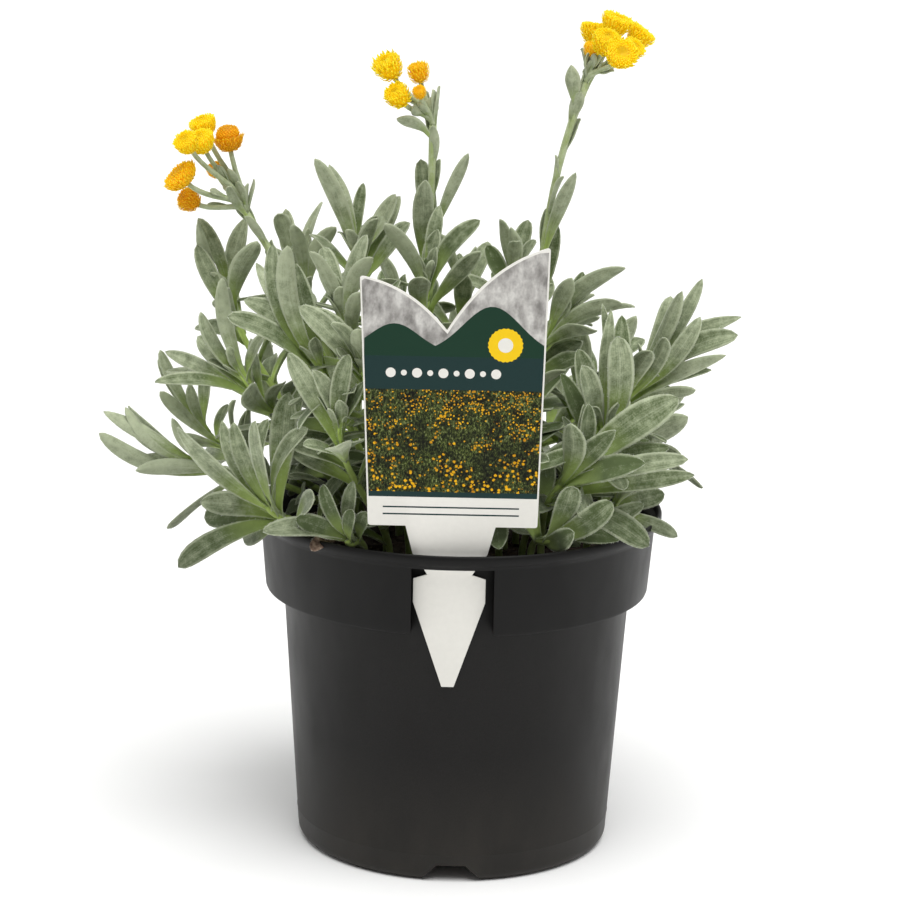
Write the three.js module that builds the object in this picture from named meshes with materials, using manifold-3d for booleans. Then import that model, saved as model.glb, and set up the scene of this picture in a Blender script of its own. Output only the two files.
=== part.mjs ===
// A potted chrysocephalum: a felted grey-green perennial with yellow button flowers,
// growing in a black nursery pot, with a printed card label standing in the rim's pocket.
// Millimetres, +Z up. The origin is the centre of the pot's foot, on the ground.

import * as THREE from 'three';
import { mergeVertices } from 'three/addons/utils/BufferGeometryUtils.js';
import Module from 'manifold-3d';

const wasm = await Module();
wasm.setup();
const degrees = THREE.MathUtils.degToRad;

// Driving dimensions of the pot
const RIM_RADIUS = 70;
const RIM_HEIGHT = 117.5;
const WALL = 1.4;
const LIP_HEIGHT = 5.5;
const LIP_REACH = 2.4;
const COLLAR_BOTTOM = 89.3;
const COLLAR_BOTTOM_RADIUS = 65.7;
const BODY_TOP_RADIUS = 59.6;
const BODY_FOOT_RADIUS = 53.9;
const FOOT_ROUNDING = 3.7;
const FOOT_RING_WIDTH = 5.2;
const FOOT_DISC_RADIUS = 22;
const FLOOR = 1.6;
const BASE_RISE = 3;
const POT_SEGMENTS = 32;

// The label pocket in the collar and the drain notches under the foot
const POCKET_X = -1.2;
const POCKET_WIDTH = 27;
const POCKET_TOP = 112.3;
const PAST_COLLAR = 12;
const NOTCH_COUNT = 3;
const NOTCH_WIDTH = 19;
const NOTCH_HEIGHT = 6;
const NOTCH_SLOPE = 4.8;
const NOTCH_INNER_END = 38;
const NOTCH_DEPTH = 26;

// The potting mix, and how deep a stem stands in it
const SOIL_EDGE_HEIGHT = 103.5;
const SOIL_CROWN_HEIGHT = 106;
const SOIL_FOOT_RISE = 1.5;
const STEM_FOOT = 97;
const STEM_LEVEL = 106;
const STEM_RISE = 18;
const FIT_GAP = 0.35;

// The card label stands on its tip and leans back against the pocket
const LABEL_THICKNESS = 0.8;
const LABEL_LEAN = degrees(4.2);
const LABEL_TIP = [-2.3, -59, 72];

// Stems: a shoot's stem, a flower stalk and a branch to a head
const SHOOT_STEM_RADIUS = 1.25;
const SHOOT_TIP_RADIUS = 1;
const STALK_RADIUS = 1.35;
const STALK_TIP_RADIUS = 1.05;
const BRANCH_RADIUS = 0.75;
const STEM_SIDES = 4;
const STEM_STATIONS = [0, 0.35, 0.6, 0.8, 1];
const STEM_ARRIVAL = 0.38;
const BRANCH_START = 0.3;
const BRANCH_ARRIVAL = 0.4;
const HOLE_SIDES = 4;

// Leaves: size, keel under the midrib, and the shares of its length where a blade is cut
const GOLDEN_ANGLE = degrees(137.508);
const LEAF_LENGTH = 34;
const LEAF_WIDTH = 7.4;
const LEAF_KEEL = 0.9;
const LEAF_WIDEST = 0.68;
const LEAF_STALK_WIDTH = 0.14;
const LEAF_STATIONS = [0, 0.5, 0.84];
const SPREAD_STATIONS = [0.26, 0.5, 0.84];
const LEAF_CLEARANCE = 0.35;
const SAME_DIRECTION = 0.93;

// Spiral leaves, from the lowest on a shoot to the highest: how far they spread from the
// stem in degrees, at least and at most, how much they arch, and how they shrink
const LOW_SPREAD = [82, 66];
const HIGH_SPREAD = [15, 30];
const LEAST_BEND = 0.25;
const LOW_BEND = 1.15;
const HIGH_BEND = 0.45;
const HIGH_LENGTH = 0.62;
const HIGH_WIDTH = 0.72;
const TURN_VARIATION = 0.2;
const ROLL_VARIATION = 0.35;
const TOP_LEAF_DOWN = 0.5;

// Aimed leaves: where on the stem they sit, their arch and their roll
const AIMED_DOWN = [11, 1];
const AIMED_BEND = [0.35, 0.95];
const AIMED_ROLL = 0.3;
const BRACT_BEND = [0.2, 0.5];
const BRACT_ROLL = 0.2;

// Flower heads
const HEAD_SIDES = 8;
const HEAD_SEAT = 0.45;
const HEAD_UPRIGHT = 0.35;

const MATERIALS = {
  pot: { color: 0x2b2a28, roughness: 0.45, metalness: 0 },
  soil: { color: 0x33261c, roughness: 0.95, metalness: 0 },
  label: { color: 0xe9ebe6, roughness: 0.35, metalness: 0 },
  leaf: { color: 0x93a382, roughness: 0.85, metalness: 0 },
  stalk: { color: 0x8f9c70, roughness: 0.8, metalness: 0 },
  yellow: { color: 0xf6c500, roughness: 0.8, metalness: 0 },
  orange: { color: 0xdd8f0a, roughness: 0.8, metalness: 0 },
};

// Vector helpers on plain [x, y, z] lists
const add = (a, b) => [a[0] + b[0], a[1] + b[1], a[2] + b[2]];
const sub = (a, b) => [a[0] - b[0], a[1] - b[1], a[2] - b[2]];
const scale = (a, k) => [a[0] * k, a[1] * k, a[2] * k];
const dot = (a, b) => a[0] * b[0] + a[1] * b[1] + a[2] * b[2];
const cross = (a, b) => [a[1] * b[2] - a[2] * b[1], a[2] * b[0] - a[0] * b[2], a[0] * b[1] - a[1] * b[0]];
const length = (a) => Math.sqrt(dot(a, a));
const unit = (a) => scale(a, 1 / length(a));
const mix = (a, b, t) => a + (b - a) * t;
const sum = (...terms) => terms.reduce(add);
const aside = (u, v, angle) => add(scale(u, Math.cos(angle)), scale(v, Math.sin(angle)));

// Two directions square to an axis, turned from one fixed direction
const SIDE_REFERENCE = [0.6, -0.8, 0];
function sidesOf(axis) {
  const u = unit(sub(SIDE_REFERENCE, scale(axis, dot(SIDE_REFERENCE, axis))));
  return [u, cross(axis, u)];
}

// A repeatable stream of numbers from 0 to 1
function drawsFrom(seed) {
  let state = seed;
  return () => {
    state = (state * 1664525 + 1013904223) % 4294967296;
    return state / 4294967296;
  };
}

// Solids and meshes
function solidOf(points, faces) {
  return new wasm.Manifold(new wasm.Mesh({
    numProp: 3,
    vertProperties: new Float32Array(points.flat()),
    triVerts: new Uint32Array(faces.flat()),
  }));
}

function solidOfGeometry(geometry) {
  geometry.deleteAttribute('normal');
  geometry.deleteAttribute('uv');
  const merged = mergeVertices(geometry, 1e-4);
  const position = merged.getAttribute('position');
  const points = [];
  for (let i = 0; i < position.count; i += 1) {
    points.push([position.getX(i), position.getY(i), position.getZ(i)]);
  }
  const index = merged.getIndex().array;
  const faces = [];
  for (let i = 0; i < index.length; i += 3) {
    const [a, b, c] = [index[i], index[i + 1], index[i + 2]];
    if (a !== b && b !== c && c !== a) faces.push([a, b, c]);
  }
  return solidOf(points, faces);
}

function meshOf(name, solid, finish) {
  const { vertProperties, triVerts } = solid.getMesh();
  const geometry = new THREE.BufferGeometry();
  geometry.setAttribute('position', new THREE.BufferAttribute(vertProperties, 3));
  geometry.setIndex(new THREE.BufferAttribute(triVerts, 1));
  geometry.computeVertexNormals();
  const mesh = new THREE.Mesh(geometry, new THREE.MeshStandardMaterial(MATERIALS[finish]));
  mesh.name = name;
  return mesh;
}

// A closed outline of [radius, height] points turned about the upright axis
function turned(profile, segments) {
  const points = profile.map(([radius, height]) => new THREE.Vector2(radius, height));
  const geometry = new THREE.LatheGeometry(points, segments);
  geometry.rotateX(Math.PI / 2);
  return solidOfGeometry(geometry);
}

// An upright block or prism from a plan outline
function prism(outline, bottom, top) {
  const shape = new THREE.Shape(outline.map(([x, y]) => new THREE.Vector2(x, y)));
  const geometry = new THREE.ExtrudeGeometry(shape, { depth: top - bottom, bevelEnabled: false });
  geometry.translate(0, 0, bottom);
  return solidOfGeometry(geometry);
}

function block([x0, y0, z0], [x1, y1, z1]) {
  return prism([[x0, y0], [x1, y0], [x1, y1], [x0, y1]], z0, z1);
}

// The pot
const COLLAR_TOP_RADIUS = RIM_RADIUS - LIP_REACH;
const LIP_BOTTOM = RIM_HEIGHT - LIP_HEIGHT;
const POCKET_LEFT = POCKET_X - POCKET_WIDTH / 2;
const POCKET_RIGHT = POCKET_X + POCKET_WIDTH / 2;

function bodyRadius(height) {
  const share = (height - FOOT_ROUNDING) / (COLLAR_BOTTOM - FOOT_ROUNDING);
  return mix(BODY_FOOT_RADIUS, BODY_TOP_RADIUS, share);
}

function collarRadius(height) {
  const share = (height - COLLAR_BOTTOM) / (LIP_BOTTOM - COLLAR_BOTTOM);
  return mix(COLLAR_BOTTOM_RADIUS, COLLAR_TOP_RADIUS, share);
}

// From the foot's centre up the outside, over the lip and down the inside
function potProfile() {
  const footEdge = BODY_FOOT_RADIUS - FOOT_ROUNDING;
  const footInner = footEdge - FOOT_RING_WIDTH;
  const floorTop = BASE_RISE + FLOOR;
  return [
    [0, 0],
    [FOOT_DISC_RADIUS, 0],
    [FOOT_DISC_RADIUS + BASE_RISE, BASE_RISE],
    [footInner - BASE_RISE / 2, BASE_RISE],
    [footInner, 0],
    [footEdge, 0],
    [footEdge + 0.7 * FOOT_ROUNDING, 0.3 * FOOT_ROUNDING],
    [BODY_FOOT_RADIUS, FOOT_ROUNDING],
    [BODY_TOP_RADIUS, COLLAR_BOTTOM],
    [COLLAR_BOTTOM_RADIUS, COLLAR_BOTTOM],
    [COLLAR_TOP_RADIUS, LIP_BOTTOM],
    [RIM_RADIUS - 0.4 * LIP_REACH, RIM_HEIGHT - 0.6 * LIP_HEIGHT],
    [RIM_RADIUS, RIM_HEIGHT - 0.3 * LIP_HEIGHT],
    [RIM_RADIUS - WALL / 2, RIM_HEIGHT],
    [RIM_RADIUS - WALL, RIM_HEIGHT],
    [COLLAR_TOP_RADIUS - WALL, LIP_BOTTOM],
    [COLLAR_BOTTOM_RADIUS - WALL, COLLAR_BOTTOM + WALL],
    [BODY_TOP_RADIUS - WALL, COLLAR_BOTTOM + WALL],
    [BODY_FOOT_RADIUS - WALL, floorTop + WALL],
    [footEdge, floorTop],
    [FOOT_DISC_RADIUS + BASE_RISE, floorTop],
    [FOOT_DISC_RADIUS, FLOOR],
    [0, FLOOR],
  ];
}

// A ring that follows the body wall's cone, from inner to outer beyond its outside
function coneRing(inner, outer, bottom, top) {
  return turned([
    [bodyRadius(bottom) + inner, bottom],
    [bodyRadius(bottom) + outer, bottom],
    [bodyRadius(top) + outer, top],
    [bodyRadius(top) + inner, top],
    [bodyRadius(bottom) + inner, bottom],
  ], POT_SEGMENTS);
}

// The label pocket: the body wall carried up behind the collar, and a wall at each side
function pocketWalls() {
  const reach = block(
    [POCKET_LEFT - WALL, -RIM_RADIUS, 0],
    [POCKET_RIGHT + WALL, 0, RIM_HEIGHT],
  );
  const insideCollar = turned([
    [0, 0],
    [BODY_FOOT_RADIUS, 0],
    [collarRadius(COLLAR_BOTTOM), COLLAR_BOTTOM],
    [collarRadius(LIP_BOTTOM), LIP_BOTTOM],
    [collarRadius(LIP_BOTTOM), RIM_HEIGHT],
    [0, RIM_HEIGHT],
  ], POT_SEGMENTS);
  return coneRing(-WALL, PAST_COLLAR, COLLAR_BOTTOM, POCKET_TOP)
    .intersect(reach)
    .intersect(insideCollar);
}

function pocketRoom() {
  const reach = block([POCKET_LEFT, -2 * RIM_RADIUS, 0], [POCKET_RIGHT, 0, RIM_HEIGHT]);
  return coneRing(0, 2 * PAST_COLLAR, COLLAR_BOTTOM - WALL, POCKET_TOP).intersect(reach);
}

function drainNotch(turn) {
  const half = NOTCH_WIDTH / 2;
  const shape = new THREE.Shape([
    new THREE.Vector2(-half, -1),
    new THREE.Vector2(half, -1),
    new THREE.Vector2(half, NOTCH_HEIGHT - NOTCH_SLOPE),
    new THREE.Vector2(half - NOTCH_SLOPE, NOTCH_HEIGHT),
    new THREE.Vector2(-half + NOTCH_SLOPE, NOTCH_HEIGHT),
    new THREE.Vector2(-half, NOTCH_HEIGHT - NOTCH_SLOPE),
  ]);
  const geometry = new THREE.ExtrudeGeometry(shape, { depth: NOTCH_DEPTH, bevelEnabled: false });
  geometry.rotateX(Math.PI / 2);
  geometry.translate(0, -NOTCH_INNER_END, 0);
  geometry.rotateZ(turn);
  return solidOfGeometry(geometry);
}

function potSolid() {
  let pot = turned(potProfile(), POT_SEGMENTS).add(pocketWalls()).subtract(pocketRoom());
  for (let i = 0; i < NOTCH_COUNT; i += 1) {
    pot = pot.subtract(drainNotch(i * 2 * Math.PI / NOTCH_COUNT));
  }
  return pot;
}

// The potting mix fills the pot, clear of its wall, with a plain hole for each stem
function soilSolid(roots) {
  const low = BASE_RISE + FLOOR + FIT_GAP;
  const shelf = COLLAR_BOTTOM + WALL + FIT_GAP;
  const skin = WALL + FIT_GAP;
  let soil = turned([
    [0, low],
    [BODY_FOOT_RADIUS - FOOT_ROUNDING - FOOT_RING_WIDTH, low],
    [BODY_FOOT_RADIUS - skin - WALL / 2, NOTCH_HEIGHT + SOIL_FOOT_RISE],
    [BODY_TOP_RADIUS - skin, shelf],
    [collarRadius(shelf) - skin, shelf],
    [collarRadius(SOIL_EDGE_HEIGHT) - skin, SOIL_EDGE_HEIGHT],
    [0, SOIL_CROWN_HEIGHT],
  ], POT_SEGMENTS);
  const corner = Math.max(-POCKET_LEFT, POCKET_RIGHT) + WALL;
  const back = Math.sqrt((BODY_TOP_RADIUS - WALL) ** 2 - corner ** 2) - FIT_GAP;
  soil = soil.subtract(block(
    [POCKET_LEFT - skin, -RIM_RADIUS, COLLAR_BOTTOM - FIT_GAP],
    [POCKET_RIGHT + skin, -back, RIM_HEIGHT],
  ));
  for (const { at: [x, y], radius } of roots) {
    const reach = (radius + FIT_GAP) / Math.cos(Math.PI / HOLE_SIDES);
    const outline = [];
    for (let i = 0; i < HOLE_SIDES; i += 1) {
      const angle = i * 2 * Math.PI / HOLE_SIDES;
      outline.push([x + reach * Math.cos(angle), y + reach * Math.sin(angle)]);
    }
    soil = soil.subtract(prism(outline, STEM_FOOT - FIT_GAP, RIM_HEIGHT));
  }
  return soil;
}

// The label: a head with two unequal wings meeting in a notch, a neck that passes under
// the lip, two barbs and a pointed tongue. Heights run up the card from its tip.
function labelSolid() {
  const shape = new THREE.Shape();
  shape.moveTo(-2, -1.5);
  shape.lineTo(2, -1.5);
  shape.lineTo(11.8, 28);
  shape.lineTo(11.8, 36);
  shape.lineTo(7.3, 37.5);
  shape.lineTo(9, 40.3);
  shape.lineTo(12.2, 44.8);
  shape.lineTo(14.6, 54.2);
  shape.lineTo(27.2, 54.2);
  shape.quadraticCurveTo(28.1, 54.2, 28.1, 55.2);
  shape.lineTo(29.9, 146);
  shape.quadraticCurveTo(29.9, 147.4, 28.6, 147);
  shape.quadraticCurveTo(10, 141, -2.3, 119.8);
  shape.quadraticCurveTo(-13.5, 134, -28.8, 137);
  shape.quadraticCurveTo(-30.2, 137.2, -30.1, 136);
  shape.lineTo(-26.8, 55.2);
  shape.quadraticCurveTo(-26.7, 54.2, -25.8, 54.2);
  shape.lineTo(-14.6, 54.2);
  shape.lineTo(-12.2, 44.8);
  shape.lineTo(-9, 40.3);
  shape.lineTo(-7.3, 37.5);
  shape.lineTo(-11.8, 36);
  shape.lineTo(-11.8, 28);
  shape.closePath();
  const geometry = new THREE.ExtrudeGeometry(shape, {
    depth: LABEL_THICKNESS, bevelEnabled: false, curveSegments: 5,
  });
  geometry.rotateX(Math.PI / 2);
  geometry.rotateX(LABEL_LEAN);
  geometry.translate(...LABEL_TIP);
  return solidOfGeometry(geometry);
}

// A tapered tube through rings of points, closed at both ends
function tubeSolid(centres, radii) {
  const points = [];
  centres.forEach((centre, i) => {
    const before = centres[Math.max(i - 1, 0)];
    const after = centres[Math.min(i + 1, centres.length - 1)];
    const [u, v] = sidesOf(unit(sub(after, before)));
    for (let k = 0; k < STEM_SIDES; k += 1) {
      points.push(add(centre, scale(aside(u, v, k * 2 * Math.PI / STEM_SIDES), radii[i])));
    }
  });
  const faces = [];
  for (let i = 0; i + 1 < centres.length; i += 1) {
    for (let k = 0; k < STEM_SIDES; k += 1) {
      const a = i * STEM_SIDES + k;
      const b = i * STEM_SIDES + ((k + 1) % STEM_SIDES);
      faces.push([a, b, b + STEM_SIDES], [a, b + STEM_SIDES, a + STEM_SIDES]);
    }
  }
  const last = (centres.length - 1) * STEM_SIDES;
  for (let k = 1; k + 1 < STEM_SIDES; k += 1) {
    faces.push([0, k + 1, k], [last, last + k, last + k + 1]);
  }
  return solidOf(points, faces);
}

// A stem stands upright in its hole, then curves to its tip, arriving along its heading
function stemCurve(root, tip, heading) {
  const foot = [root[0], root[1], STEM_LEVEL];
  const span = length(sub(tip, foot));
  return new THREE.CubicBezierCurve3(
    new THREE.Vector3(...foot),
    new THREE.Vector3(root[0], root[1], STEM_LEVEL + STEM_RISE),
    new THREE.Vector3(...sub(tip, scale(unit(heading), STEM_ARRIVAL * span))),
    new THREE.Vector3(...tip),
  );
}

function stemSolid(curve, radius, tipRadius) {
  const foot = curve.v0.toArray();
  const centres = [[foot[0], foot[1], STEM_FOOT]];
  const radii = [radius];
  for (const t of STEM_STATIONS) {
    centres.push(curve.getPoint(t).toArray());
    radii.push(mix(radius, tipRadius, t));
  }
  return tubeSolid(centres, radii);
}

// A leaf's width along its length: a narrow stalk, widest past the middle, a blunt tip
function widthShare(s) {
  if (s < LEAF_WIDEST) {
    const t = s / LEAF_WIDEST;
    return mix(LEAF_STALK_WIDTH, 1, t * t * (3 - 2 * t));
  }
  const t = (s - LEAF_WIDEST) / (1 - LEAF_WIDEST);
  return Math.sqrt(1 - t * t);
}

// The frame of an arched blade: where it lies and how it turns at a share s of its length
function bladeFrame(leaf, s) {
  const { base, along, upper, reach, bend } = leaf;
  const half = bend / 2;
  const start = aside(along, upper, half);
  const lift = aside(upper, along, -half);
  const radius = reach / (2 * Math.sin(half));
  const turn = bend * s;
  const outward = scale(start, radius * Math.sin(turn));
  const downward = scale(lift, -radius * (1 - Math.cos(turn)));
  return {
    point: sum(base, outward, downward),
    normal: aside(lift, start, turn),
    across: cross(along, upper),
  };
}

// A keeled blade with a sharp tip, fattened by extra where clearance is tested
function bladeSolid(leaf, extra = 0, stations = LEAF_STATIONS) {
  const points = [];
  for (const s of stations) {
    const { point, normal, across } = bladeFrame(leaf, s);
    const half = (leaf.width / 2) * widthShare(s) + extra;
    points.push(
      sum(point, scale(across, half), scale(normal, extra)),
      sum(point, scale(across, -half), scale(normal, extra)),
      sum(point, scale(normal, -LEAF_KEEL - extra)),
    );
  }
  points.push(bladeFrame(leaf, 1 + extra / leaf.reach).point);
  const faces = [[0, 1, 2]];
  const rows = stations.length;
  for (let i = 0; i < rows; i += 1) {
    for (let k = 0; k < 3; k += 1) {
      const a = 3 * i + k;
      const b = 3 * i + ((k + 1) % 3);
      if (i + 1 < rows) {
        faces.push([a, a + 3, b], [b, a + 3, b + 3]);
      } else {
        faces.push([a, 3 * rows, b]);
      }
    }
  }
  return solidOf(points, faces);
}

// What is already placed, for the leaves to keep clear of. A leaf may touch its own
// stem and the roots of its neighbours there, but not their outer parts.
const placed = [];

function place(owner, solid, spread = null) {
  placed.push({ owner, solid, spread, box: solid.boundingBox() });
}

function boxesMeet(a, b) {
  return [0, 1, 2].every((i) => a.min[i] <= b.max[i] && b.min[i] <= a.max[i]);
}

function isClear(owner, leaf) {
  const solid = bladeSolid(leaf, LEAF_CLEARANCE);
  const spread = bladeSolid(leaf, 0, SPREAD_STATIONS);
  const box = solid.boundingBox();
  return placed.every((other) => {
    if (!boxesMeet(box, other.box)) return true;
    if (other.owner !== owner) return solid.intersect(other.solid).isEmpty();
    return other.spread === null || spread.intersect(other.spread).isEmpty();
  });
}

// Each leaf takes the first of these that clears its neighbours: turned about the stem,
// spread wider or narrower, both in degrees, and shortened
const TRIES = [
  [0, 0, 1], [8, 0, 1], [-8, 0, 1], [0, 8, 1], [0, -8, 1], [16, 0, 1], [-16, 0, 1],
  [10, -12, 0.95], [-10, -12, 0.95], [10, 12, 0.95], [-10, 12, 0.95], [0, 0, 0.85],
  [0, -18, 0.9], [24, 0, 0.9], [-24, 0, 0.9], [16, -14, 0.8], [-16, -14, 0.8],
  [0, -10, 0.72], [20, 12, 0.72], [-20, 12, 0.72], [34, 0, 0.8], [-34, 0, 0.8],
  [0, 0, 0.6], [24, -16, 0.6], [-24, -16, 0.6],
];

function leafAt(plan, [turn, spread, short]) {
  const { base, axis, reach, bend, width, roll } = plan;
  const [u, v] = sidesOf(axis);
  const out = aside(u, v, plan.azimuth + degrees(turn));
  const angle = plan.spread + degrees(spread);
  const along = aside(axis, out, angle);
  const flat = aside(axis, out, angle - Math.PI / 2);
  const upper = aside(flat, cross(along, flat), roll);
  return { base, along, upper, reach: reach * short, bend, width };
}

// A place on a stem, measured down from its tip, and the stem's direction there
function placeOn(curve, down) {
  const t = 1 - down / curve.v3.distanceTo(curve.v0);
  return { base: curve.getPoint(t).toArray(), axis: unit(curve.getTangent(t).toArray()) };
}

// A leaf that reaches for a given tip
function aimedPlan({ base, axis }, target, width, bend, roll) {
  const [u, v] = sidesOf(axis);
  const path = sub(target, base);
  const along = unit(path);
  return {
    base, axis, width, bend, roll, along,
    azimuth: Math.atan2(dot(along, v), dot(along, u)),
    spread: Math.acos(dot(along, axis)),
    reach: length(path),
  };
}

// The leaves of one shoot. The aimed ones reach for a named tip, the rest follow the
// golden angle round the stem, wide and long low down, short and upright at the tip.
function shootPlans({ leaves, turn, zone, aims }, curve, draw) {
  const aimed = aims.map(([x, y, z, width], i) => {
    const spot = placeOn(curve, mix(...AIMED_DOWN, i / aims.length));
    const bend = mix(...AIMED_BEND, draw());
    const roll = mix(-AIMED_ROLL, AIMED_ROLL, draw());
    return aimedPlan(spot, [x, y, z], width, bend, roll);
  });
  const spiral = [];
  for (let i = 0; i < leaves; i += 1) {
    const rise = i / (leaves - 1);
    const [a, b, c, d, e] = [draw(), draw(), draw(), draw(), draw()];
    const [least, most] = [0, 1].map((k) => mix(LOW_SPREAD[k], HIGH_SPREAD[k], rise));
    const plan = {
      ...placeOn(curve, mix(zone, TOP_LEAF_DOWN, rise)),
      azimuth: degrees(turn) + i * GOLDEN_ANGLE + mix(-TURN_VARIATION, TURN_VARIATION, a),
      spread: degrees(mix(least, most, b)),
      reach: LEAF_LENGTH * mix(1, HIGH_LENGTH, rise * rise) * mix(0.82, 1.1, c),
      width: LEAF_WIDTH * mix(1, HIGH_WIDTH, rise) * mix(0.8, 1.2, c),
      bend: mix(LEAST_BEND, mix(LOW_BEND, HIGH_BEND, rise), d),
      roll: mix(-ROLL_VARIATION, ROLL_VARIATION, e),
    };
    const { along } = leafAt(plan, TRIES[0]);
    if (aimed.every((other) => dot(other.along, along) < SAME_DIRECTION)) spiral.push(plan);
  }
  return [...aimed, ...spiral];
}

// The leaves of a flower stalk, each a tip, a width and how far below the fork it starts
function stalkPlans({ leaves }, curve, draw) {
  return leaves.map(([x, y, z, width, down]) => {
    const bend = mix(...BRACT_BEND, draw());
    const roll = mix(-BRACT_ROLL, BRACT_ROLL, draw());
    return aimedPlan(placeOn(curve, down), [x, y, z], width, bend, roll);
  });
}

// Joined blades can seal a small hollow between them, which is filled
function filled(solid) {
  return solid.decompose().filter((piece) => piece.volume() > 0).reduce((a, b) => a.add(b));
}

function growLeaves(owner, stem, plans) {
  let solid = stem;
  for (const plan of plans) {
    const leaf = TRIES.map((change) => leafAt(plan, change)).find((one) => isClear(owner, one));
    if (leaf) {
      const blade = bladeSolid(leaf);
      place(owner, blade, bladeSolid(leaf, 0, SPREAD_STATIONS));
      solid = solid.add(blade);
    }
  }
  return filled(solid);
}

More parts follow.
